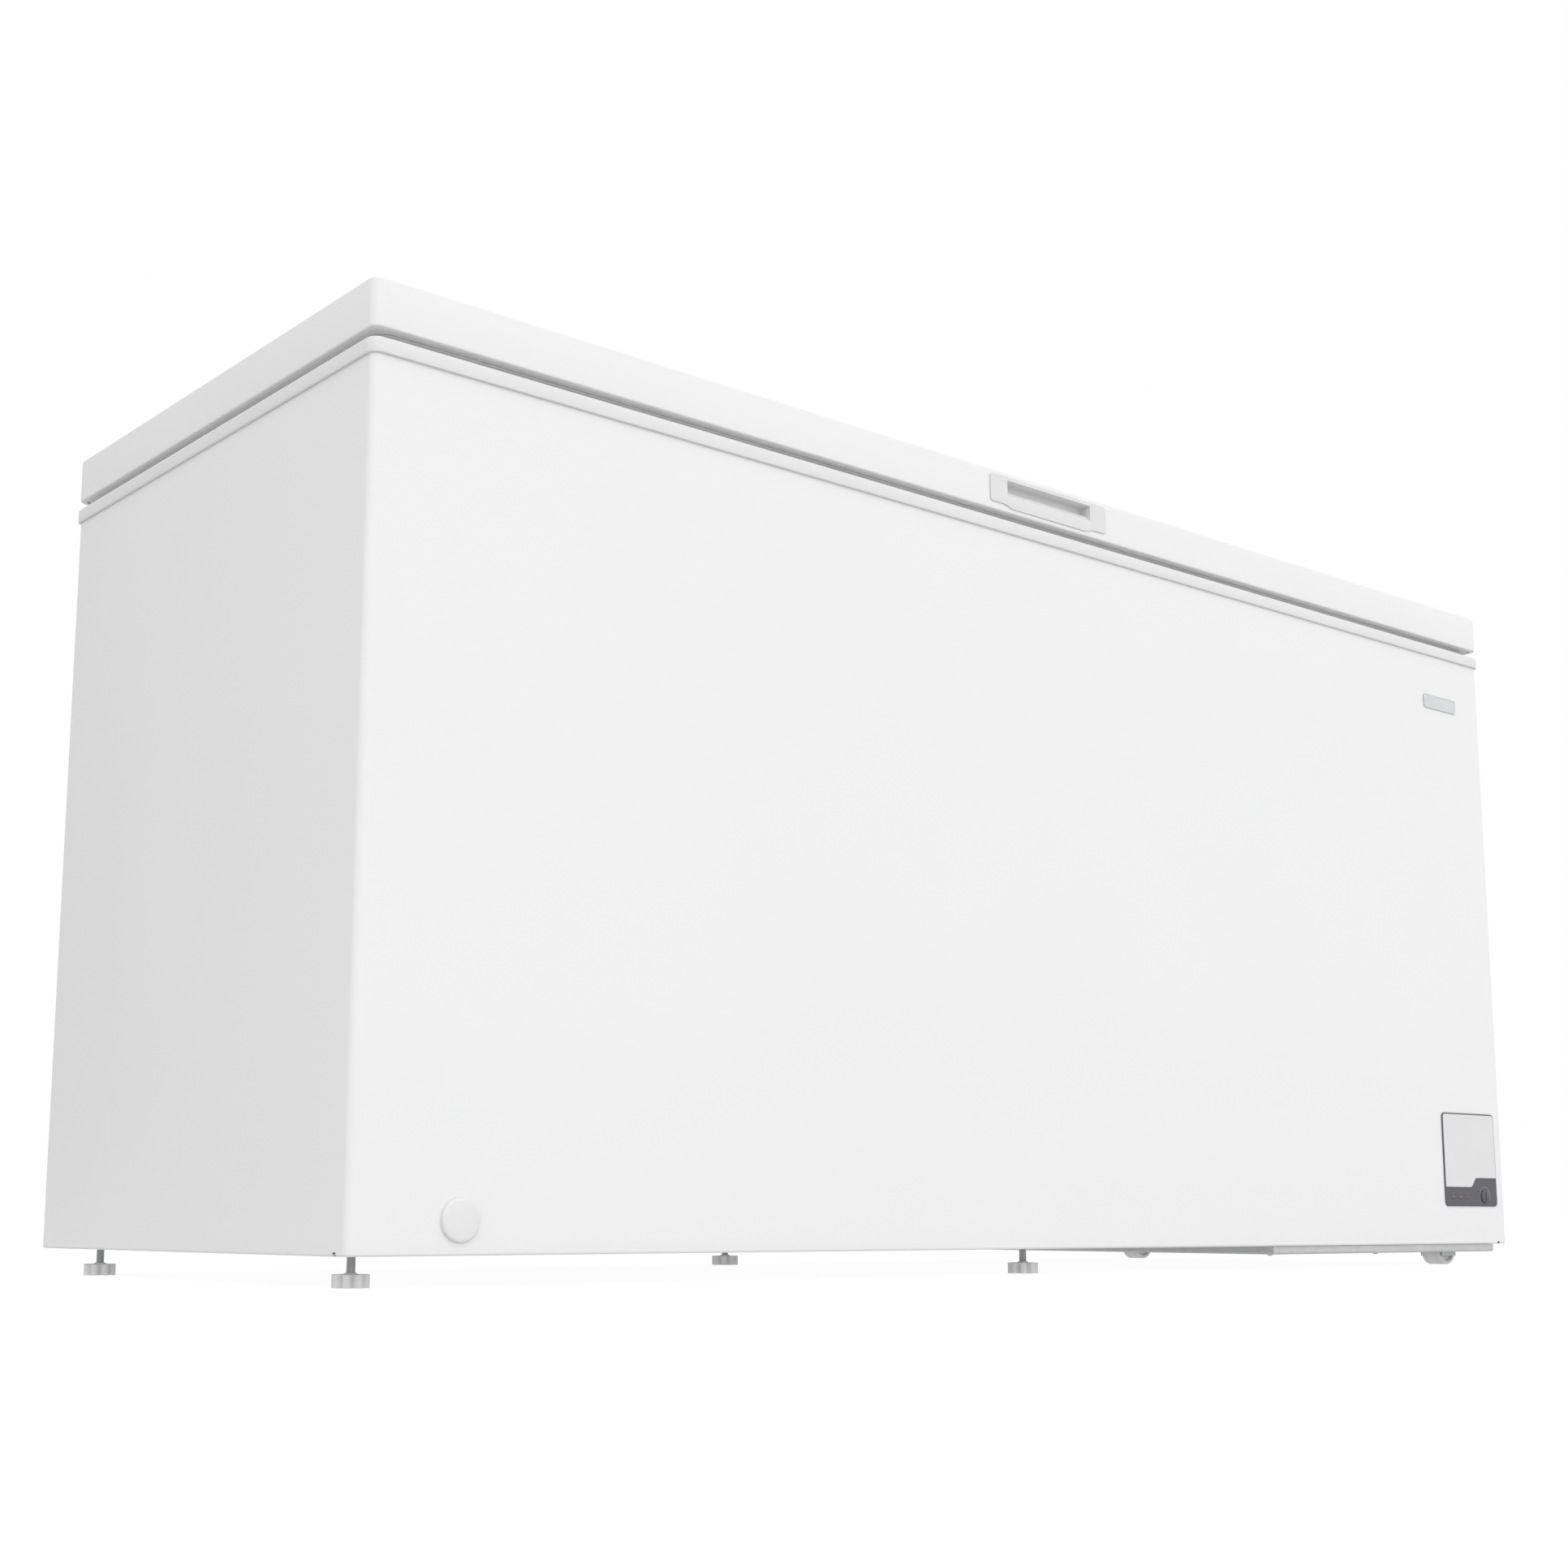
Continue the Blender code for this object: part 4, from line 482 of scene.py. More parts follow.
def finished(shape):
    """The shape as a mesh, after doubled points are welded and faces turned outwards."""
    bmesh.ops.remove_doubles(shape, verts=shape.verts, dist=0.000002)
    bmesh.ops.dissolve_degenerate(shape, edges=shape.edges, dist=0.000001)
    bmesh.ops.recalc_face_normals(shape, faces=shape.faces)
    return as_mesh(shape)


def skin(rows, closed_rows=True, closed_stack=False):
    """Faces between successive rows. What stays open at an end is capped with one face."""
    shape = bmesh.new()
    grid = [[shape.verts.new(point) for point in row] for row in rows]
    pairs = list(zip(grid, grid[1:]))
    if closed_stack:
        pairs.append((grid[-1], grid[0]))
    count = len(grid[0])
    for lower, upper in pairs:
        for index in range(count if closed_rows else count - 1):
            after = (index + 1) % count
            shape.faces.new((lower[index], lower[after], upper[after], upper[index]))
    if closed_rows and not closed_stack:
        shape.faces.new(grid[0])
        shape.faces.new(grid[-1])
    if closed_stack and not closed_rows:
        shape.faces.new([row[0] for row in grid])
        shape.faces.new([row[-1] for row in grid])
    return finished(shape)


def ring_rows(low, high, profile, corner, steps=8):
    """A row for each (inset, z) of the profile, or (inset, z, corner radius)."""
    rows = []
    for inset, z, *own in profile:
        radius = own[0] if own else max(corner - inset, 0.0008)
        loop = rounded_loop(low.x + inset, high.x - inset, low.y + inset, high.y - inset, radius, steps)
        rows.append([(x, y, z) for x, y in loop])
    return rows


def turned(profile, at, towards=(0, 0, 1), sides=48, flutes=0, flute_depth=0.0):
    """Turns (radius, height) points about the line through at. Flutes wave the outer radius."""
    rows = []
    widest = max(radius for radius, height in profile)
    for radius, height in profile:
        row = []
        for side in range(sides):
            angle = 2 * math.pi * side / sides
            reach = radius
            if flutes and radius > widest * 0.9:
                reach -= flute_depth * (0.5 - 0.5 * math.cos(flutes * angle))
            row.append((reach * math.cos(angle), reach * math.sin(angle), height))
        rows.append(row)
    mesh = skin(rows)
    turn = Vector(towards).to_track_quat("Z", "Y").to_matrix().to_4x4()
    mesh.transform(Matrix.Translation(at) @ turn)
    return mesh


# %% [markdown]
# Flat pieces are outlines with a thickness. Holes are cut with booleans, which are applied at
# once, so that no cutter is left in the scene. A cutter starts clear of the surface that it
# enters, because faces that coincide give ragged cuts. Wires are curves with a round bevel.

# %% Plates, wires and cuts
AXIS_ORDER = {"Z": (0, 1, 2), "Y": (0, 2, 1), "X": (2, 0, 1)}
CLEAR = 0.01
CUT_IN = 0.008


def plate(loops, low, high, axis="Z"):
    """A plate between low and high along an axis. Loops after the first are holes."""
    shape = bmesh.new()
    edges = []
    for loop in loops:
        points = [shape.verts.new((u, v, low)) for u, v in loop]
        edges += [shape.edges.new((points[index - 1], points[index])) for index in range(len(points))]
    if len(loops) == 1:
        shape.faces.new(points)
    else:
        bmesh.ops.triangle_fill(shape, use_beauty=True, use_dissolve=False, edges=edges)
    raised = bmesh.ops.extrude_face_region(shape, geom=shape.faces[:])["geom"]
    lifted = [part for part in raised if isinstance(part, bmesh.types.BMVert)]
    bmesh.ops.translate(shape, verts=lifted, vec=(0, 0, high - low))
    for point in shape.verts:
        point.co = [point.co[index] for index in AXIS_ORDER[axis]]
    return finished(shape)


def block(low, high):
    """A rectangular block, mostly used as a cutter."""
    outline = [(low[0], low[1]), (high[0], low[1]), (high[0], high[1]), (low[0], high[1])]
    return plate([outline], low[2], high[2])


def drill(radius, at, towards=FORWARD, ahead=CLEAR, behind=CLEAR, sides=24):
    """A round cutter about the line through at."""
    return turned([(0, ahead), (radius, ahead), (radius, -behind), (0, -behind)], at, towards, sides)


def evaluated_mesh(holder):
    """The mesh of a curve, or of an object with modifiers. The holder is removed."""
    scene.collection.objects.link(holder)
    graph = bpy.context.evaluated_depsgraph_get()
    mesh = bpy.data.meshes.new_from_object(holder.evaluated_get(graph))
    bpy.data.objects.remove(holder, do_unlink=True)
    return mesh


def carve(mesh, cutters, operation="DIFFERENCE"):
    """The mesh after each cutter was taken away from it, or joined to it."""
    target = bpy.data.objects.new("target", mesh)
    tools = []
    for cutter in cutters:
        tool = bpy.data.objects.new("cutter", cutter)
        scene.collection.objects.link(tool)
        step = target.modifiers.new("cut", "BOOLEAN")
        step.operation = operation
        step.object = tool
        tools.append(tool)
    made = evaluated_mesh(target)
    for tool in tools:
        bpy.data.objects.remove(tool, do_unlink=True)
    return made


def wire(paths, radius, closed=False, fineness=2):
    """Round wires along paths of points, as one mesh."""
    curve = bpy.data.curves.new("wire", "CURVE")
    curve.dimensions = "3D"
    curve.bevel_depth = radius
    curve.bevel_resolution = fineness
    curve.use_fill_caps = not closed
    for path in paths:
        line = curve.splines.new("POLY")
        line.points.add(len(path) - 1)
        for point, at in zip(line.points, path):
            point.co = (*at, 1)
        line.use_cyclic_u = closed
    mesh = evaluated_mesh(bpy.data.objects.new("wire", curve))
    shape = bmesh.new()
    shape.from_mesh(mesh)
    return finished(shape)


def gathered(*meshes):
    """Several meshes as one."""
    shape = bmesh.new()
    for mesh in meshes:
        shape.from_mesh(mesh)
    return as_mesh(shape)


# %% [markdown]
# `piece` turns a mesh into a piece of the freezer: it names it, gives it its finish, lets it ride
# on its body and hides the CAD solids that it stands for. Edges are softened with a live Bevel where
# the profile has no fillet of its own.


# %% Make a piece
def piece(name, mesh, slot, body, replaced=(), soft=0.0, smooth_below=35):
    """Soft is the width of the bevel on edges sharper than smooth_below degrees."""
    made = bpy.data.objects.new(name, mesh)
    scene.collection.objects.link(made)
    mesh.materials.clear()
    mesh.materials.append(FINISHES[slot])
    mesh.shade_smooth()
    if soft:
        edges = made.modifiers.new("soft_edges", "BEVEL")
        edges.width = soft
        edges.segments = 2
        edges.limit_method = "ANGLE"
        edges.angle_limit = math.radians(smooth_below)
        edges.harden_normals = True
    else:
        mesh.set_sharp_from_angle(angle=math.radians(smooth_below))
    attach(made, body)
    if replaced:
        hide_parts(*replaced)
    print(f"{name}: {len(mesh.polygons)} faces, rides on {body}")
    return made


# %% [markdown]
# ## Wall sheet
# One sheet is bent round the left side, the front and the right side. Its lower edge is rolled in,
# its rear edges turn behind the cabinet. It is swept along the outline from one rear return to
# the other, with the hem in the profile.

# %% Bend the wall sheet
HEM_W = 0.012
HEM_R = 0.0024
RETURN_W = 0.018
BOTTOM = WALL_LOW.z
WALL_TOP = WALL_HIGH.z

hem_profile = [(0, WALL_TOP), (0, BOTTOM + 0.012)]
hem_profile += arc(HEM_R, BOTTOM + HEM_R, HEM_R, 180, 270, 6)
hem_profile += [(HEM_W, BOTTOM), (HEM_W, BOTTOM + SHEET)]
hem_profile += arc(HEM_R, BOTTOM + HEM_R, HEM_R - SHEET, 270, 180, 6)
hem_profile += [(SHEET, WALL_TOP)]
wall_rows = []
ring_steps = 8
for row in ring_rows(WALL_LOW, WALL_HIGH, hem_profile, CORNER_R, ring_steps):
    half = 2 * (ring_steps + 1)
    around = row[half:] + row[:half]
    z = row[0][2]
    start = (WALL_LOW.x + RETURN_W, around[0][1], z)
    end = (WALL_HIGH.x - RETURN_W, around[-1][1], z)
    wall_rows.append([start, *around, end])
wall_mesh = skin(wall_rows, closed_rows=False, closed_stack=True)

# %% [markdown]
# The sheet has openings for the control housing, the drain and the side vent, and small relief
# notches in its lower bend near the corners, where two folds meet.

# %% Cut the openings
PANEL_LOW, PANEL_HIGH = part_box("control_panel_base")
VENT_LOW, VENT_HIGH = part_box("vent_grille")
CAP_LOW, CAP_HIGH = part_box("drain_cap")
HOUSE_INSET = 0.0077
VENT_EDGE = 0.008
DRAIN_HOLE_R = 0.0106
NOTCH_R = 0.0034
NOTCH_IN = 0.020
SIDE_NOTCH_IN = 0.0195
FRONT = WALL_LOW.y
drain = (CAP_LOW + CAP_HIGH) / 2


def panel_block(inset, front, back):
    """A block through the wall, as large as the control panel less an inset."""
    return block((PANEL_LOW.x + inset, front, PANEL_LOW.z + inset),
                 (PANEL_HIGH.x - inset, back, PANEL_HIGH.z - inset))


openings = [
    panel_block(HOUSE_INSET, FRONT - CLEAR, FRONT + CUT_IN),
    block((WALL_HIGH.x - CUT_IN, VENT_LOW.y + VENT_EDGE, VENT_LOW.z + VENT_EDGE),
          (WALL_HIGH.x + CLEAR, VENT_HIGH.y - VENT_EDGE, VENT_HIGH.z - VENT_EDGE)),
    drill(DRAIN_HOLE_R, (drain.x, FRONT, drain.z), sides=48),
    drill(NOTCH_R, (WALL_HIGH.x - NOTCH_IN, FRONT, BOTTOM), ahead=0.005, behind=0.006),
]
for x in (WALL_LOW.x, WALL_HIGH.x):
    at = (x, FRONT + SIDE_NOTCH_IN, BOTTOM + 0.0004)
    openings.append(drill(NOTCH_R, at, (1, 0, 0), ahead=0.005, behind=0.005))
piece("wall_sheet", carve(wall_mesh, openings), "white_paint", "cabinet", ["outer_wrap"])

# %% [markdown]
# ## Collar
# A moulded frame caps the walls and carries the baskets. Its skirt stands 3 mm proud of the sheet,
# its lip hangs into the tank and ends in a ledge. All of it is one closed profile, swept round.

# %% Sweep the collar
COLLAR_T = 0.003
COLLAR_PROUD = 0.003
COLLAR_EDGE_R = 0.0016
SKIRT_H = 0.0138
LIP_AT = 0.0663
LIP_T = 0.0025
LEDGE_W = 0.008
LIP_R = 0.0022
TANK_R = 0.0147
collar_top = COLLAR_HIGH.z
skirt_low = collar_top - SKIRT_H
lip_low = COLLAR_LOW.z
lip_in = LIP_AT + LIP_T
ledge_in = lip_in + LEDGE_W


def tank_corner(inset):
    """The corner radius at an inset, which keeps the lip evenly thick."""
    return max(TANK_R - (inset - LIP_AT), 0.004)


collar_profile = [(-0.0003, collar_top - COLLAR_T), (-0.0003, skirt_low + 0.0004), (-0.0007, skirt_low)]
collar_profile += [(0.0008 - COLLAR_PROUD, skirt_low), (0.0002 - COLLAR_PROUD, skirt_low + 0.0003),
                   (-COLLAR_PROUD, skirt_low + 0.0008)]
collar_profile += arc(COLLAR_EDGE_R - COLLAR_PROUD, collar_top - COLLAR_EDGE_R, COLLAR_EDGE_R, 180, 90, 5)
tank_side = [(lip_in - LIP_R, collar_top), *arc(lip_in - LIP_R, collar_top - LIP_R, LIP_R, 75, 0, 5)]
for inset, z in (*tank_side, (lip_in, lip_low + 0.0038), (lip_in + 0.0002, lip_low + 0.0032),
                 (lip_in + 0.0008, lip_low + 0.0030), (ledge_in - 0.0006, lip_low + 0.0030),
                 (ledge_in, lip_low + 0.0024), (ledge_in, lip_low + 0.0006),
                 (ledge_in - 0.0006, lip_low), (LIP_AT, lip_low), (LIP_AT, collar_top - COLLAR_T)):
    collar_profile.append((inset, z, tank_corner(inset)))
collar_mesh = skin(ring_rows(WALL_LOW, WALL_HIGH, collar_profile, CORNER_R), closed_stack=True)
piece("collar_frame", collar_mesh, "white_plastic", "cabinet", ["top_collar"])

# %% [markdown]
# ## Lid
# The lid is a shallow pressed tray, upside down. The upper edge is rounded with 3 mm and the
# skirt's lower edge is hemmed. Inside it sits a vacuum-formed panel with a raised field, which
# dips into the tank, and a seal that holds itself down with a magnet strip.

# %% Press the lid shell
LID_EDGE_R = 0.003
LID_HEM_W = 0.006
LID_HEM_R = 0.0016
lid_low = LID_LOW.z
lid_top = LID_HIGH.z

shell_profile = [(LID_EDGE_R, lid_top - SHEET)]
shell_profile += arc(LID_EDGE_R, lid_top - LID_EDGE_R, LID_EDGE_R - SHEET, 90, 180, 5)
shell_profile += arc(LID_HEM_R, lid_low + LID_HEM_R, LID_HEM_R - SHEET, 180, 270, 4)
shell_profile += [(LID_HEM_W, lid_low + SHEET), (LID_HEM_W, lid_low)]
shell_profile += arc(LID_HEM_R, lid_low + LID_HEM_R, LID_HEM_R, 270, 180, 5)
shell_profile += arc(LID_EDGE_R, lid_top - LID_EDGE_R, LID_EDGE_R, 180, 90, 7)
shell_mesh = skin(ring_rows(LID_LOW, LID_HIGH, shell_profile, CORNER_R + 0.0016))

# %% [markdown]
# The grip goes through the skirt, so the skirt has a rectangular opening that the grip's bezel
# hides.

# %% Cut the grip opening
GRIP_LOW, GRIP_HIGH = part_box("lid_grip")
POCKET_W = 0.1325
POCKET_RISE = 0.0095
POCKET_H = 0.0175
POCKET_WALL = 0.0018
GRIP_PLAY = 0.0004
pocket_low = GRIP_LOW.z + POCKET_RISE
pocket_high = pocket_low + POCKET_H
sleeve_half = POCKET_W / 2 + POCKET_WALL
opening_half = sleeve_half + GRIP_PLAY
opening_rim = POCKET_WALL + GRIP_PLAY
grip_opening = block((MIDDLE_X - opening_half, LID_LOW.y - CLEAR, pocket_low - opening_rim),
                     (MIDDLE_X + opening_half, LID_LOW.y + CUT_IN, pocket_high + opening_rim))
piece("lid_shell", carve(shell_mesh, [grip_opening]), "white_paint", "lid", ["lid_skin"])

# %% [markdown]
# The inner panel is a thin sheet, so its profile goes down one face and back up the other. Its
# rim steps over the shell's hem. The sides of the raised field lean in by a few degrees, as any
# vacuum-formed part does, and a shallow recess stiffens its face.

# %% Form the inner panel
PANEL_T = 0.0015
RECESS = 0.0050
field_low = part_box("lid_liner")[0].z
field_in = 0.0826
lean = 0.0022

under = [(0.0015, lid_low + 0.0016, 0.008), (0.0066, lid_low + 0.0015, 0.006),
         (0.0076, lid_low + 0.0002, 0.006), (0.0110, lid_low, 0.006),
         (0.0265, lid_low, 0.008), (field_in - 0.004, lid_low, 0.022)]
for inset, z in arc(field_in - 0.004, lid_low - 0.004, 0.004, 80, 10, 5):
    under.append((inset, z, 0.020))
for inset, z in arc(field_in + lean + 0.006, field_low + 0.006, 0.006, 190, 270, 7):
    under.append((inset, z, 0.020))
under += [(0.150, field_low, 0.020), (0.1518, field_low + 0.0004, 0.020),
          (0.1560, field_low + RECESS - 0.0004, 0.018), (0.1578, field_low + RECESS, 0.017)]
over = []
for inset, z, radius in reversed(under):
    inwards = PANEL_T if z < lid_low - 0.001 else 0.0
    over.append((inset + inwards, z + PANEL_T, radius))
inner_mesh = skin(ring_rows(LID_LOW, LID_HIGH, over + under, CORNER_R, 10))
piece("lid_inner_panel", inner_mesh, "white_plastic", "lid", ["lid_liner"])

# %% [markdown]
# The foam fills the space between shell and panel. Its block follows the leaning sides and the
# recess of the panel, so it can't show through.

# %% Fill the lid
FOAM_PLAY = 0.0008
FOAM_IN = 0.004
GRIP_BAY_HALF = 0.11
foam_low = field_low + RECESS + PANEL_T + FOAM_PLAY
foam_in = field_in + lean + PANEL_T + FOAM_PLAY
foam_profile = [(foam_in, foam_low, 0.018), (foam_in, lid_low + 0.002, 0.018),
                (0.012, lid_low + 0.004, 0.004), (FOAM_IN, lid_low + 0.008, 0.004),
                (FOAM_IN, lid_top - 0.004, 0.004), (0.006, lid_top - SHEET - FOAM_PLAY, 0.004)]
grip_bay = block((MIDDLE_X - GRIP_BAY_HALF, LID_LOW.y - CLEAR, lid_low - CLEAR),
                 (MIDDLE_X + GRIP_BAY_HALF, GRIP_HIGH.y + FOAM_PLAY, lid_top + CLEAR))
foam_mesh = skin(ring_rows(LID_LOW, LID_HIGH, foam_profile, CORNER_R, 10))
piece("lid_insulation", carve(foam_mesh, [grip_bay]), "insulation", "lid", ["lid_foam"])

# %% [markdown]
# ## Seal
# A magnetic seal is a soft extrusion: a flat chamber that holds the magnet strip, and pleats above
# it that let it follow the collar. One half of the outline is written down and mirrored.

# %% Sweep the seal
SEAL_LOW, SEAL_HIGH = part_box("lid_gasket")
SEAL_W = 0.014
SEAL_H = SEAL_HIGH.z - SEAL_LOW.z
pleats = [(0.0016, 0), (0.0007, 0.03), (0.0003, 0.10), (0.0003, 0.33), (0.0007, 0.40), (0.0019, 0.43),
          (0.0023, 0.47), (0.0019, 0.51), (0.0006, 0.54), (0.0001, 0.60), (0.0001, 0.67), (0.0006, 0.72),
          (0.0019, 0.75), (0.0022, 0.79), (0.0018, 0.83), (0.0003, 0.87), (0.0, 0.92), (0.0003, 1.0)]
outline = [(inset, SEAL_LOW.z + share * SEAL_H) for inset, share in pleats]
outline += [(SEAL_W - inset, SEAL_LOW.z + share * SEAL_H) for inset, share in reversed(pleats)]
seal_mesh = skin(ring_rows(SEAL_LOW, SEAL_HIGH, outline, 0.016), closed_stack=True)
piece("lid_seal", seal_mesh, "gasket_rubber", "lid", ["lid_gasket"], smooth_below=50)

# %% [markdown]
# ## Finger grip
# Bezel and pocket are one moulding. The bezel's lower edge swells a little over its middle. The
# pocket is scooped: at its lower edge it starts flush with the bezel, so it stays light there, and
# it runs deep under its roof, where fingertips hook in.

# %% Mould the grip
GRIP_T = 0.0012
GRIP_CORNER = 0.0035
SWELL = 0.0034
SWELL_HALF = 0.072
SWELL_RUN = 0.014
EDGE_STEPS = 48
SCOOP_BACK = 0.0078
SCOOP_ROUND = 0.15
SCOOP_STEPS = 18
POCKET_DEPTH = 0.014
POCKET_ROUND = 0.0015


def swell(x):
    """How far the bezel's lower edge hangs down at x."""
    share = (SWELL_HALF - abs(x - MIDDLE_X)) / SWELL_RUN
    share = min(max(share, 0.0), 1.0)
    return SWELL * share * share * (3 - 2 * share)


bezel_outline = rounded_loop(GRIP_LOW.x, GRIP_HIGH.x, GRIP_LOW.z, GRIP_HIGH.z, GRIP_CORNER, 6)
straight = GRIP_HIGH.x - GRIP_LOW.x - 2 * GRIP_CORNER
for step in range(1, EDGE_STEPS):
    x = GRIP_LOW.x + GRIP_CORNER + straight * step / EDGE_STEPS
    bezel_outline.append((x, GRIP_LOW.z - swell(x)))
bezel = plate([bezel_outline], GRIP_LOW.y, GRIP_LOW.y + GRIP_T, "Y")
sleeve_outline = rounded_loop(MIDDLE_X - sleeve_half, MIDDLE_X + sleeve_half,
                              pocket_low - POCKET_WALL, pocket_high + POCKET_WALL, 0.003, 4)
sleeve = plate([sleeve_outline], GRIP_LOW.y + GRIP_T / 2, GRIP_HIGH.y, "Y")
mouth = GRIP_LOW.y - 0.003
pocket_back = GRIP_LOW.y + POCKET_DEPTH
scoop = [(mouth, pocket_low)]
for step, (across, up) in enumerate(arc(0, 0, 1, 0, 90, SCOOP_STEPS)):
    inwards = SCOOP_ROUND * (1 - across) + (1 - SCOOP_ROUND) * step / SCOOP_STEPS
    scoop.append((GRIP_LOW.y + POCKET_DEPTH * inwards, pocket_low + (POCKET_H - SCOOP_BACK) * up))
scoop += [(pocket_back, pocket_high - POCKET_ROUND), (pocket_back - POCKET_ROUND, pocket_high),
          (mouth, pocket_high)]
scoop_cutter = plate([scoop], MIDDLE_X - POCKET_W / 2, MIDDLE_X + POCKET_W / 2, "X")
grip_mesh = carve(carve(bezel, [sleeve], "UNION"), [scoop_cutter])
piece("finger_grip", grip_mesh, "grip_plastic", "lid", ["lid_grip"], soft=0.0005, smooth_below=50)

# %% [markdown]
# ## Control panel
# A dark base plate carries the lamps and the thermostat knob, and a light cover leaves only a
# stepped window and a narrow rim of it free. Both are thinner than their solids in the frame,
# which shows them 4 mm proud of the wall. The plate's housing reaches through the wall.

# %% Base plate and housing
HOUSE_EDGE = 0.008
HOUSE_WALL = 0.002
PLATE_T = 0.0009
PLATE_GAP = 0.0002
KNOB_HOLE_R = 0.0028
LENS_HOLE_R = 0.0025
KNOB_LOW, KNOB_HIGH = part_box("thermostat_dial")
knob_x, _, knob_z = (KNOB_LOW + KNOB_HIGH) / 2
plate_back = FRONT - PLATE_GAP
plate_front = plate_back - PLATE_T

base = plate([rounded_loop(PANEL_LOW.x, PANEL_HIGH.x, PANEL_LOW.z, PANEL_HIGH.z, 0.006)],
             plate_front, plate_back, "Y")
house = panel_block(HOUSE_EDGE, plate_back - PLATE_T / 2, PANEL_HIGH.y)
holes = [panel_block(HOUSE_EDGE + HOUSE_WALL, plate_back, PANEL_HIGH.y + CLEAR),
         drill(KNOB_HOLE_R, (knob_x, plate_front, knob_z))]
lamp_places = []
for number in (1, 2, 3):
    low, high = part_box(f"indicator_lens_{number}")
    x, _, z = (low + high) / 2
    lamp_places.append((x, z))
    holes.append(drill(LENS_HOLE_R, (x, plate_front, z)))
base_mesh = carve(carve(base, [house], "UNION"), holes)
piece("panel_base", base_mesh, "dark_plastic", "cabinet", ["control_panel_base"], soft=0.0003)

# %% [markdown]
# The cover's lower edge rises over the knob in one smooth step. A shallow field is let into its
# face, as on most covers that carry a printed label.

# %% Cover
COVER_LOW, COVER_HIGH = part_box("control_panel_cover")
WINDOW_RISE = 0.0115
STEP_FROM_RIGHT = 0.0595
STEP_W = 0.014
STEP_POINTS = 12
COVER_R = 0.0043
COVER_T = 0.0007
FIELD_EDGE = 0.0035
FIELD_DEPTH = 0.00015


def cover_outline(inset):
    """The cover from the front, moved inwards by inset."""
    x0, x1 = COVER_LOW.x + inset, COVER_HIGH.x - inset
    low, high = COVER_LOW.z + inset, COVER_HIGH.z - inset
    radius = COVER_R - inset * 0.6
    points = [(x0, low)]
    step_x = PANEL_HIGH.x - STEP_FROM_RIGHT - inset * 0.4
    for step in range(STEP_POINTS + 1):
        share = step / STEP_POINTS
        climb = WINDOW_RISE * (0.5 - 0.5 * math.cos(math.pi * share))
        points.append((step_x + STEP_W * share, low + climb))
    points.append((x1, low + WINDOW_RISE))
    points += arc(x1 - radius, high - radius, radius, 0, 90, 6)
    return points + arc(x0 + radius, high - radius, radius, 90, 180, 6)


cover_front = plate_front - COVER_T
cover = plate([cover_outline(0)], cover_front, plate_front - 0.0001, "Y")
field = plate([cover_outline(FIELD_EDGE)], cover_front - 0.001, cover_front + FIELD_DEPTH, "Y")
piece("panel_cover", carve(cover, [field]), "cover_plastic", "cabinet", ["control_panel_cover"],
      soft=0.0002, smooth_below=50)

# %% [markdown]
# The knob has a coin slot across its face and fine flutes round its rim. The lamps are low domes.
# A thin wedge round the knob is the cold scale: the thicker, the colder.

# %% Knob, lamps and scale
KNOB_R = (KNOB_HIGH.x - KNOB_LOW.x) / 2
KNOB_T = 0.0016
SHAFT_R = 0.0025
FLUTES = 32
FLUTE_DEPTH = 0.0004
COIN_SLOT_HALF = 0.0009
COIN_SLOT_DEEP = 0.0009
LENS_R = 0.0022
LENS_H = 0.0006
PRINT_T = 0.00008
MARK_UP = 0.0046
MARK_T = 0.0005
SCALE_R = 0.0112
SCALE_FROM = 200
SCALE_SWEEP = 220
SCALE_THIN = 0.0004
SCALE_GROWS = 0.0011
SCALE_STEPS = 40
knob_back = plate_front - 0.0002
shaft = KNOB_HIGH.y - knob_back
knob_profile = [(0, KNOB_T), (KNOB_R - 0.0016, KNOB_T), (KNOB_R - 0.0008, KNOB_T - 0.0002),
                (KNOB_R, KNOB_T - 0.0008), (KNOB_R, 0), (SHAFT_R, 0), (SHAFT_R, -shaft), (0, -shaft)]
knob = turned(knob_profile, (knob_x, knob_back, knob_z), FORWARD, 6 * FLUTES, FLUTES, FLUTE_DEPTH)
slot_reach = KNOB_R * 0.72
coin_slot = block((knob_x - COIN_SLOT_HALF, knob_back - KNOB_T - 0.001, knob_z - slot_reach),
                  (knob_x + COIN_SLOT_HALF, knob_back - KNOB_T + COIN_SLOT_DEEP, knob_z + slot_reach))
piece("thermostat_knob", carve(knob, [coin_slot]), "dark_plastic", "thermostat_dial",
      ["thermostat_dial"])

dome = [(0, LENS_H)] + [(LENS_R * across, LENS_H * up) for across, up in arc(0, 0, 1, 90, 0, 6)[1:]]
lens_profile = dome + [(LENS_R, -0.004), (0, -0.004)]
for number, (x, z) in enumerate(lamp_places, 1):
    colour = ("lens_green", "lens_orange", "lens_red")[number - 1]
    piece(f"lamp_{number}", turned(lens_profile, (x, plate_front, z), FORWARD, 32), colour, "cabinet",
          [f"indicator_lens_{number}"])


def printed(outline):
    """A mark of ink on the base plate."""
    return plate([outline], plate_front - PRINT_T, plate_front, "Y")


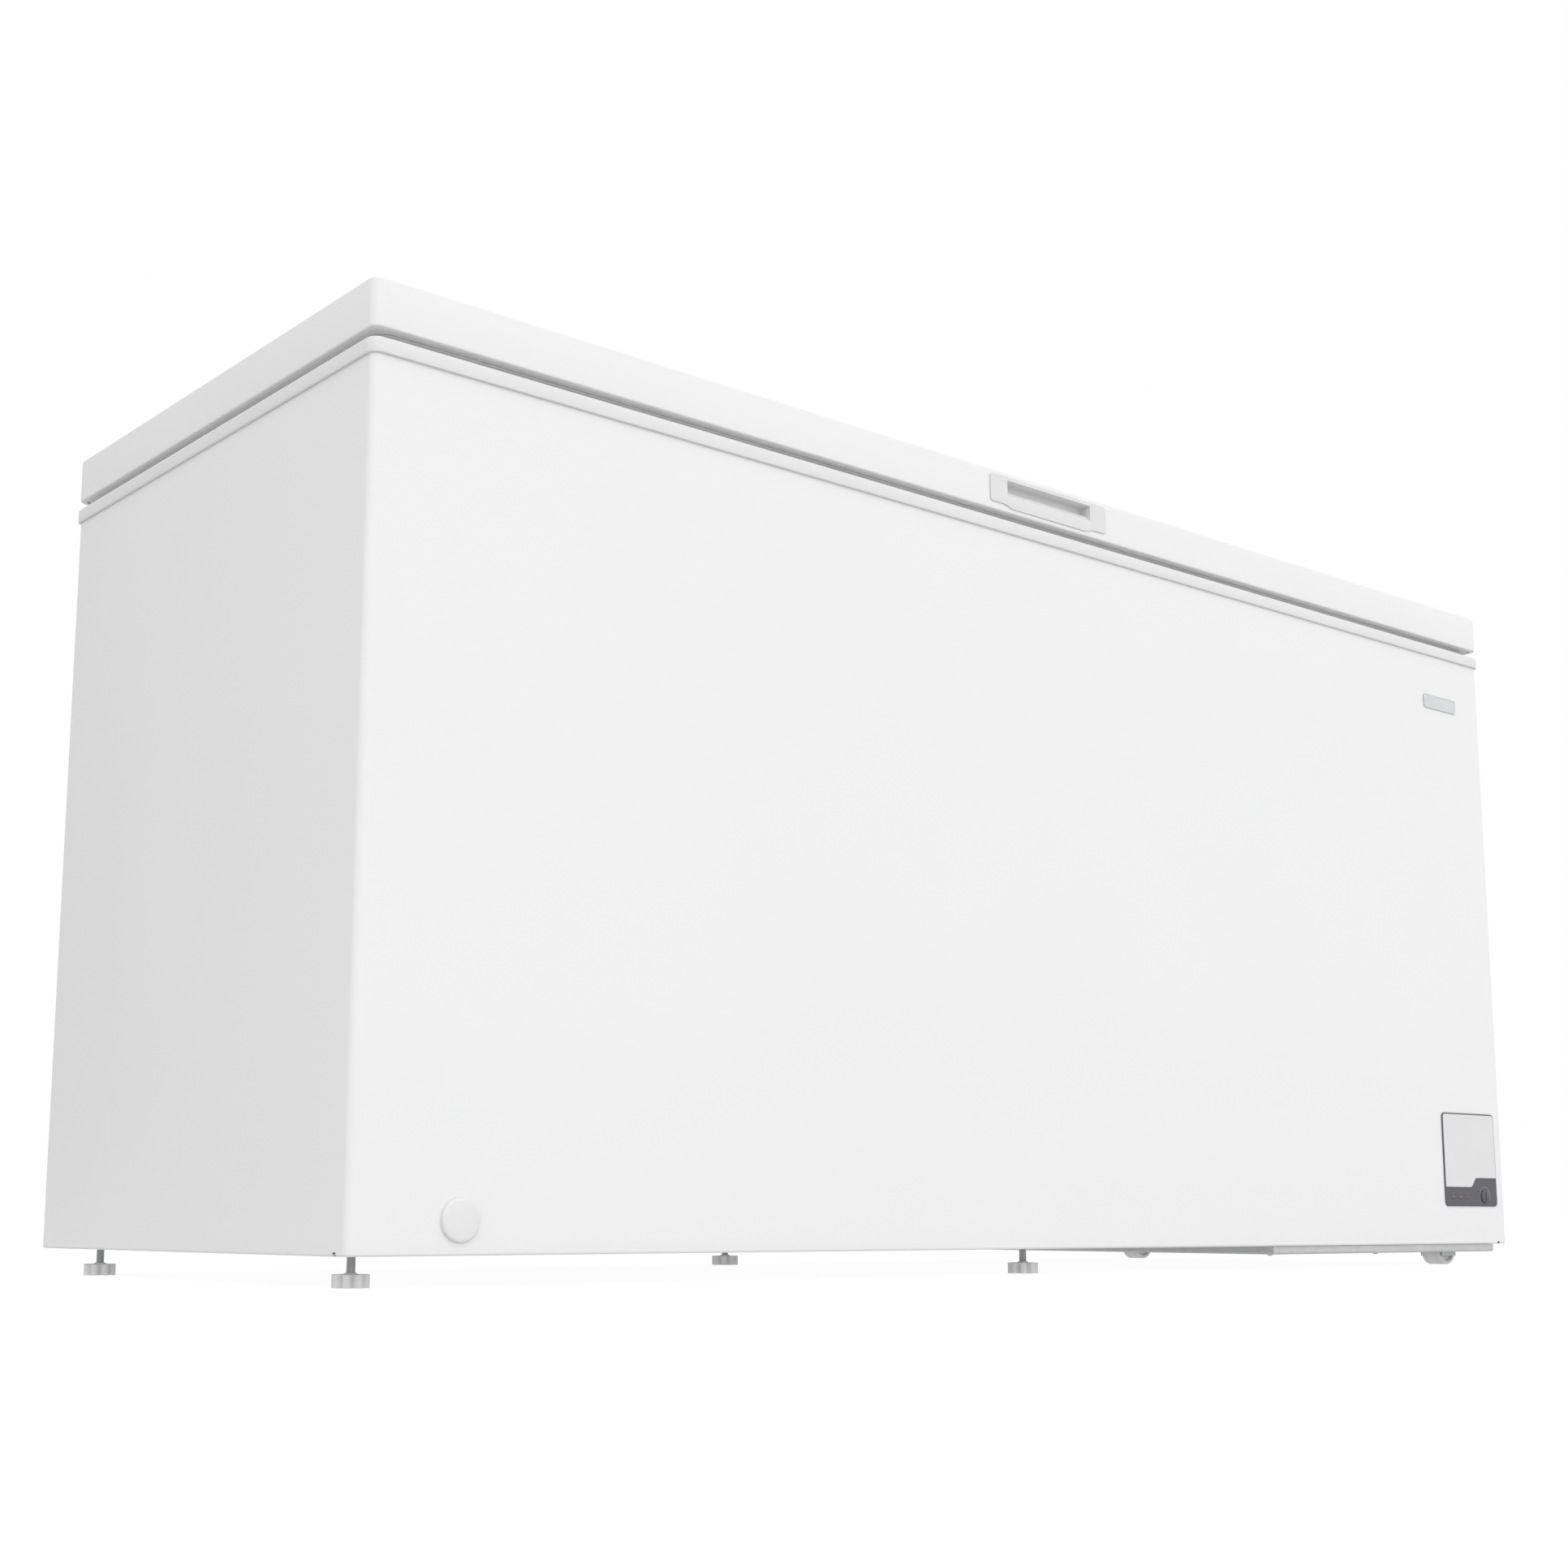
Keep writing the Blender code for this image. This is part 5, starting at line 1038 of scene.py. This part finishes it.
outer_edge = []
inner_edge = []
for step in range(SCALE_STEPS + 1):
    share = step / SCALE_STEPS
    angle = math.radians(SCALE_FROM - SCALE_SWEEP * share)
    wide = SCALE_THIN + SCALE_GROWS * share
    for reach, points in ((SCALE_R + wide, outer_edge), (SCALE_R, inner_edge)):
        points.append((knob_x + reach * math.cos(angle), knob_z + reach * math.sin(angle)))
scale = printed(outer_edge + inner_edge[::-1])
marks = [printed(rounded_loop(x - LENS_R, x + LENS_R, z + MARK_UP, z + MARK_UP + MARK_T, 0.0002, 2))
         for x, z in lamp_places]
piece("panel_print", gathered(scale, *marks), INK, "cabinet")

# %% [markdown]
# ## Badge and drain cap
# The badge is a plain pressed plate without any mark. The drain cap is a low turned lid, slightly
# domed, with a rounded rim.

# %% Badge and cap
BADGE_LOW, BADGE_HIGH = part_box("front_badge")
BADGE_RIM = 0.0014


def badge_plate(inset, corner, front, back):
    """A plate with the badge's outline, less an inset."""
    outline = rounded_loop(BADGE_LOW.x + inset, BADGE_HIGH.x - inset, BADGE_LOW.z + inset,
                           BADGE_HIGH.z - inset, corner, 6)
    return plate([outline], front, back, "Y")


badge = badge_plate(0, 0.004, BADGE_LOW.y, BADGE_HIGH.y)
badge_field = badge_plate(BADGE_RIM, 0.003, BADGE_LOW.y - 0.001, BADGE_LOW.y + 0.0003)
piece("blank_badge", carve(badge, [badge_field]), "tube_aluminium", "cabinet", ["front_badge"],
      soft=0.0002)

CAP_R = (CAP_HIGH.x - CAP_LOW.x) / 2
CAP_ROUND = 0.0022
SPIGOT_R = 0.0074
cap_back = FRONT - 0.0003
cap_t = cap_back - CAP_LOW.y
spigot = CAP_HIGH.y - cap_back
cap_profile = [(0, cap_t), (0.0060, cap_t), (0.0120, cap_t * 0.97), (CAP_R - 0.0036, cap_t * 0.93)]
cap_profile += arc(CAP_R - CAP_ROUND, cap_t * 0.88 - CAP_ROUND, CAP_ROUND, 75, 0, 5)
cap_profile += [(CAP_R, 0), (SPIGOT_R, 0), (SPIGOT_R, 0.0006 - spigot), (SPIGOT_R - 0.0006, -spigot),
                (0, -spigot)]
piece("drain_cover", turned(cap_profile, (drain.x, cap_back, drain.z), FORWARD, 72), "white_plastic",
      "drain_cap", ["drain_cap"])

# %% [markdown]
# The plug in the tank's floor has a finger bar across its top, so it is turned and then joined to
# a rounded bar.

# %% Tank plug
PLUG_LOW, PLUG_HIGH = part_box("drain_plug")
BAR_REACH = 0.0098
BAR_HALF = 0.0017
BAR_H = 0.005
plug_x, plug_y, _ = (PLUG_LOW + PLUG_HIGH) / 2
plug_r = (PLUG_HIGH.x - PLUG_LOW.x) / 2
flange = PLUG_HIGH.z - BAR_H
plug_profile = [(0, 0.0024), (plug_r * 0.45, 0.0024), (plug_r - 0.0012, 0.0020), (plug_r - 0.0003, 0.0015),
                (plug_r, 0.0008), (plug_r, 0.0), (SPIGOT_R, 0), (SPIGOT_R, -0.0094),
                (SPIGOT_R - 0.0006, -0.010), (0, -0.010)]
plug_bar = plate([rounded_loop(plug_x - BAR_REACH, plug_x + BAR_REACH, plug_y - BAR_HALF,
                               plug_y + BAR_HALF, 0.0016, 5)], flange + 0.001, flange + BAR_H)
plug_mesh = carve(turned(plug_profile, (plug_x, plug_y, flange)), [plug_bar], "UNION")
piece("tank_plug", plug_mesh, "white_plastic", "drain_plug", ["drain_plug"], smooth_below=40)

# %% [markdown]
# ## Vents
# The side vent is a moulded grille whose slots are backed by slanting fins, so that one can't look
# straight in. The rear panel's slots get pressed hoods, open at the bottom, which keep dust out.

# %% Side vent
SLOTS = 14
FIN_T = 0.0015
FIN_DEEP = 0.009
FIN_SLANT = 0.008
SLOT_MARGIN = 0.005
fin_front = VENT_LOW.x + 0.0003
fin_back = VENT_LOW.x - FIN_DEEP
slots_from = VENT_LOW.y + VENT_EDGE
pitch = (VENT_HIGH.y - VENT_EDGE - slots_from) / SLOTS
slot_ends = (VENT_LOW.z + VENT_EDGE + SLOT_MARGIN, VENT_HIGH.z - VENT_EDGE - SLOT_MARGIN)
vent_loops = [rounded_loop(VENT_LOW.y, VENT_HIGH.y, VENT_LOW.z, VENT_HIGH.z, 0.006, 6)]
fins = []
for number in range(SLOTS):
    middle = slots_from + pitch * (number + 0.5)
    vent_loops.append(rounded_loop(middle - pitch * 0.28, middle + pitch * 0.28, *slot_ends,
                                   pitch * 0.26, 4))
    start = middle + pitch * 0.30
    if number < SLOTS - 1:
        slant = [(fin_front, start), (fin_front, start + FIN_T),
                 (fin_back, start + FIN_SLANT + FIN_T), (fin_back, start + FIN_SLANT)]
        fins.append(plate([slant], slot_ends[0] - 0.003, slot_ends[1] + 0.003))
vent_mesh = plate(vent_loops, VENT_LOW.x, VENT_HIGH.x, "X")
piece("side_vent", gathered(vent_mesh, *fins), "white_plastic", "cabinet", ["vent_grille"], soft=0.0002)

# %% [markdown]
# Each hood is one pressed bulge: its bend is swept along the slot and fades out at both ends.

# %% Rear louvre hoods
rear_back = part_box("rear_panel")[1].y
machine_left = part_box("machine_room_panel")[0].x
LOUVRES = 9
LOUVRE_PITCH = 0.016
LOUVRE_W = 0.212
LOUVRE_RISE = 0.0042
LOUVRE_H = 0.0085
HOOD_T = 0.0008
HOOD_STEPS = 24
LOUVRES_FROM = BOTTOM + 0.0755
louvre_x = (machine_left + WALL_HIGH.x) / 2
hood_back = rear_back - 0.0006
bend = arc(0, 0, 1, 90, 4, 7)
hoods = []
for number in range(LOUVRES):
    low = LOUVRES_FROM + LOUVRE_PITCH * number
    rows = []
    for step in range(HOOD_STEPS + 1):
        share = step / HOOD_STEPS
        x = louvre_x - LOUVRE_W / 2 + LOUVRE_W * share
        rise = LOUVRE_RISE * max(1 - abs(2 * share - 1) ** 8, 0.0) ** 0.5
        outside = [(x, hood_back + rise * across + 0.0004, low + LOUVRE_H * up) for across, up in bend]
        inside = [(x, hood_back + max(rise * across - HOOD_T, 0), low + (LOUVRE_H - HOOD_T) * up)
                  for across, up in reversed(bend)]
        rows.append(outside + inside)
    hoods.append(skin(rows))
piece("rear_louvres", gathered(*hoods), "white_paint", "cabinet")

# %% [markdown]
# ## Feet
# A foot is a lobed plastic pad on a zinc-plated stem. The thread is a real helix: each row of
# points is a circle whose radius follows a triangle wave, and the wave turns as the rows climb.


# %% Levelling feet
PAD_H = 0.011
LOBES = 8
LOBE_POINTS = 12 * LOBES
LOBE_DEPTH = 0.0055
STEM_R = 0.004
STEM_SIDES = 24
THREAD_PITCH = 0.00125
THREAD_DEPTH = 0.0007
ROWS_PER_TURN = 6


def threaded(x, y, low, high):
    """A threaded stem that stands at x and y."""
    rows = []
    steps = int((high - low) / THREAD_PITCH * ROWS_PER_TURN)
    for step in range(steps + 1):
        z = low + (high - low) * step / steps
        row = []
        for side in range(STEM_SIDES):
            phase = (z / THREAD_PITCH - side / STEM_SIDES) % 1.0
            reach = STEM_R - THREAD_DEPTH * abs(2 * phase - 1)
            angle = 2 * math.pi * side / STEM_SIDES
            row.append((x + reach * math.cos(angle), y + reach * math.sin(angle), z))
        rows.append(row)
    return skin(rows)


for name in ("front_left", "front_middle", "rear_left", "rear_middle"):
    low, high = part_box("foot_" + name)
    x, y, _ = (low + high) / 2
    pad_r = (high.x - low.x) / 2
    lobed = []
    for side in range(LOBE_POINTS):
        angle = 2 * math.pi * side / LOBE_POINTS
        wave = 0.5 - 0.5 * math.cos(LOBES * angle)
        reach = pad_r - LOBE_DEPTH * wave ** 2.5
        lobed.append((x + reach * math.cos(angle), y + reach * math.sin(angle)))
    pad = plate([lobed], low.z, low.z + PAD_H)
    collar = turned([(0, 0.0012), (0.0050, 0.0012), (0.0058, 0.0005), (0.0060, -0.002), (0, -0.002)],
                    (x, y, low.z + PAD_H), sides=36)
    piece("foot_pad_" + name, carve(pad, [collar], "UNION"), "white_plastic", "foot_" + name,
          ["foot_" + name], soft=0.0008, smooth_below=40)
    stem = threaded(x, y, low.z + PAD_H + 0.001, high.z)
    piece("foot_stem_" + name, stem, "zinc_steel", "foot_" + name)

# %% [markdown]
# ## Rollers
# Each roller is a small moulded wheel, with sunk faces round its hub and two shallow grooves in
# its tread. One side of the profile is written down and mirrored.

# %% Rollers
ROLLER_SIDES = 64
turns = [2 * math.pi * side / ROLLER_SIDES for side in range(ROLLER_SIDES)]
for name in ("front", "rear"):
    low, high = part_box("roller_" + name)
    at = (low + high) / 2
    radius = (high.z - low.z) / 2
    half = (high.y - low.y) / 2
    face = [(0.0033, half), (0.0060, half), (0.0066, half - 0.0006), (0.0072, half - 0.0035),
            (0.0132, half - 0.0035), (0.0140, half - 0.0006), (0.0146, half), (radius - 0.0018, half),
            (radius - 0.0005, half - 0.0005), (radius, half - 0.0018)]
    groove = [(radius, 0.0086), (radius - 0.0008, 0.0080), (radius - 0.0008, 0.0070), (radius, 0.0064)]
    upper = face + groove
    rows = [[(at.x + reach * math.cos(turn), at.y + height, at.z + reach * math.sin(turn))
             for turn in turns]
            for reach, height in upper + [(reach, -height) for reach, height in reversed(upper)]]
    piece("roller_wheel_" + name, skin(rows, closed_stack=True), "grip_plastic", "roller_" + name,
          ["roller_" + name])

# %% [markdown]
# ## Baskets
# The frame's baskets are plain tubs, good for collision only. Real ones are welded from coated
# wire: one set of U-shaped wires front to rear, one set across, a few bands round the sides and a
# thick rim that rests on the collar's ledge. Corners of a path are rounded before it becomes wire.


# %% Paths and even places
def bent(points, radius, steps=4):
    """The path with its inner corners rounded by the radius."""
    points = [Vector(point) for point in points]
    made = [points[0]]
    for before, corner, after in zip(points, points[1:], points[2:]):
        back, ahead = (before - corner), (after - corner)
        reach = min(radius, back.length * 0.49, ahead.length * 0.49)
        start = corner + back.normalized() * reach
        end = corner + ahead.normalized() * reach
        for step in range(steps + 1):
            share = step / steps
            first = start.lerp(corner, share)
            made.append(first.lerp(corner.lerp(end, share), share))
    return made + [points[-1]]


def spread(low, high, pitch):
    """Even places from low to high, about a pitch apart."""
    count = int((high - low) / pitch)
    return [low + (high - low) * number / count for number in range(count + 1)]


# %% Weld the baskets
WIRE_R = 0.0014
RIM_R = 0.0024
WIRE_PITCH = 0.0235
BASKET_CORNER = 0.024
HOOK_R = 0.010
FLOOR_BEND_R = 0.012
for side in ("left", "right"):
    tub_low, tub_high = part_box("basket_" + side)
    rim_low, rim_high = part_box(f"basket_{side}_rim")
    rim_z = rim_low.z + RIM_R
    edge = WIRE_R + 0.0002
    x0, x1 = tub_low.x + edge, tub_high.x - edge
    y0, y1 = tub_low.y + edge, tub_high.y - edge
    floor_z = tub_low.z + WIRE_R
    rim_y0, rim_y1 = rim_low.y + RIM_R, rim_high.y - RIM_R
    wall_y0, wall_y1 = y0 + 0.001, y1 - 0.001
    inner = 2 * WIRE_R
    wires = []
    for x in spread(x0 + BASKET_CORNER, x1 - BASKET_CORNER, WIRE_PITCH):
        wires.append(bent([(x, rim_y0, rim_z), (x, wall_y0, rim_z), (x, wall_y0, floor_z),
                           (x, wall_y1, floor_z), (x, wall_y1, rim_z), (x, rim_y1, rim_z)], HOOK_R))
    for y in spread(y0 + BASKET_CORNER, y1 - BASKET_CORNER, WIRE_PITCH):
        wires.append(bent([(x0, y, rim_z), (x0, y, floor_z + inner), (x1, y, floor_z + inner),
                           (x1, y, rim_z)], FLOOR_BEND_R))
    band = rounded_loop(x0 + inner, x1 - inner, wall_y0 + inner, wall_y1 - inner, BASKET_CORNER, 6)
    bands = [[(x, y, floor_z + (rim_z - floor_z) * share) for x, y in band] for share in (0.24, 0.52, 0.80)]
    rim_loop = rounded_loop(rim_low.x + RIM_R, rim_high.x - RIM_R, rim_y0, rim_y1, BASKET_CORNER)
    rim = [(x, y, rim_z) for x, y in rim_loop]
    basket_mesh = gathered(wire(wires, WIRE_R, fineness=1), wire(bands, WIRE_R, True, 1),
                           wire([rim], RIM_R, True, 2))
    piece("wire_basket_" + side, basket_mesh, "basket_coating", "basket_" + side,
          ["basket_" + side, f"basket_{side}_rim"], smooth_below=60)

# %% [markdown]
# ## Screws
# A screw head is turned once and its cross is cut once. The mesh is then copied to every place
# where the cabinet is screwed together, and each group of screws is one piece.

# %% Screw heads
BACKWARD = (0, 1, 0)
HEAD_R = 0.0036
HEAD_H = 0.0019
CROSS_LONG = 0.0019
CROSS_WIDE = 0.0004
SPIN_STEP = 0.7
SCREW_IN = 0.010
LEAF_SCREW_IN = 0.007
PAN_SCREW_IN = 0.02
RETURN_PITCH = 0.17
REAR_PITCH = 0.21
dome = [(0, HEAD_H)] + [(HEAD_R * across, HEAD_H * up) for across, up in arc(0, 0, 1, 60, 8, 4)]
head = turned(dome + [(HEAD_R, 0), (0.0015, 0), (0.0015, -0.002), (0, -0.002)], (0, 0, 0), sides=28)
cross = [block((-x, -y, HEAD_H - 0.0011), (x, y, HEAD_H + 0.001))
         for x, y in ((CROSS_LONG, CROSS_WIDE), (CROSS_WIDE, CROSS_LONG))]
screw_head = carve(head, cross)


def screws(name, places, towards=BACKWARD, body="cabinet"):
    """One piece from a screw head at each place, each turned a little further than the last."""
    copies = []
    face_turn = Vector(towards).to_track_quat("Z", "Y").to_matrix().to_4x4()
    for number, at in enumerate(places):
        copy = screw_head.copy()
        copy.transform(Matrix.Translation(at) @ face_turn @ Matrix.Rotation(SPIN_STEP * number, 4, "Z"))
        copies.append(copy)
    piece(name, gathered(*copies), "zinc_steel", body)


screws("rear_return_screws", [(x, WALL_HIGH.y, BOTTOM + 0.03 + RETURN_PITCH * step)
                              for step in range(5)
                              for x in (WALL_LOW.x + SCREW_IN, WALL_HIGH.x - SCREW_IN)])
screws("rear_panel_screws", [(WALL_LOW.x + 0.10 + REAR_PITCH * step, rear_back, BOTTOM + SCREW_IN)
                             for step in range(8)])
for side in ("left", "right"):
    low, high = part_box("hinge_bracket_" + side)
    screws("hinge_screws_" + side, [(x, high.y, low.z + up)
                                    for x in (low.x + SCREW_IN, high.x - SCREW_IN)
                                    for up in (0.012, 0.118)])
    low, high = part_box("hinge_leaf_" + side)
    leaf = [(x, low.y + 0.002, z) for x in (low.x + LEAF_SCREW_IN, high.x - LEAF_SCREW_IN)
            for z in (low.z + LEAF_SCREW_IN, high.z - LEAF_SCREW_IN)]
    screws("leaf_screws_" + side, leaf, body="lid")
low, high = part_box("base_pan")
under_pan = [(x, y, low.z) for x in (low.x + PAN_SCREW_IN, (low.x + high.x) / 2)
             for y in (low.y + PAN_SCREW_IN, high.y - PAN_SCREW_IN)]
screws("pan_screws", under_pan, (0, 0, -1))

# %% [markdown]
# ## What stays from the frame
# The other CAD solids have the right shape already: pans, brackets, pins, springs, pipes, tank and
# insulation. They only change material, by the slot that the frame's record gives them.

# %% Dress the CAD solids
for name, solid in sorted(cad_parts.items()):
    slot = solid.data.materials[0].name.split(".")[0]
    solid.data.materials[0] = FINISHES[slot]
shown = [name for name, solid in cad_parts.items() if not solid.hide_render]
print(len(shown), "CAD solids shown:", ", ".join(sorted(shown)))

# %% [markdown]
# ## Size and finish
# The looks stay inside the CAD box, apart from a few millimetres.

# %% Write the sizes and finish
bpy.context.view_layer.update()
VISUAL_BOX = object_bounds()
for index, axis in enumerate("XYZ"):
    grown = (VISUAL_BOX[1][index] - VISUAL_BOX[0][index]) - (CAD_BOX[1][index] - CAD_BOX[0][index])
    print(f"{axis}: {grown * 1000:+.1f} mm against the frame")
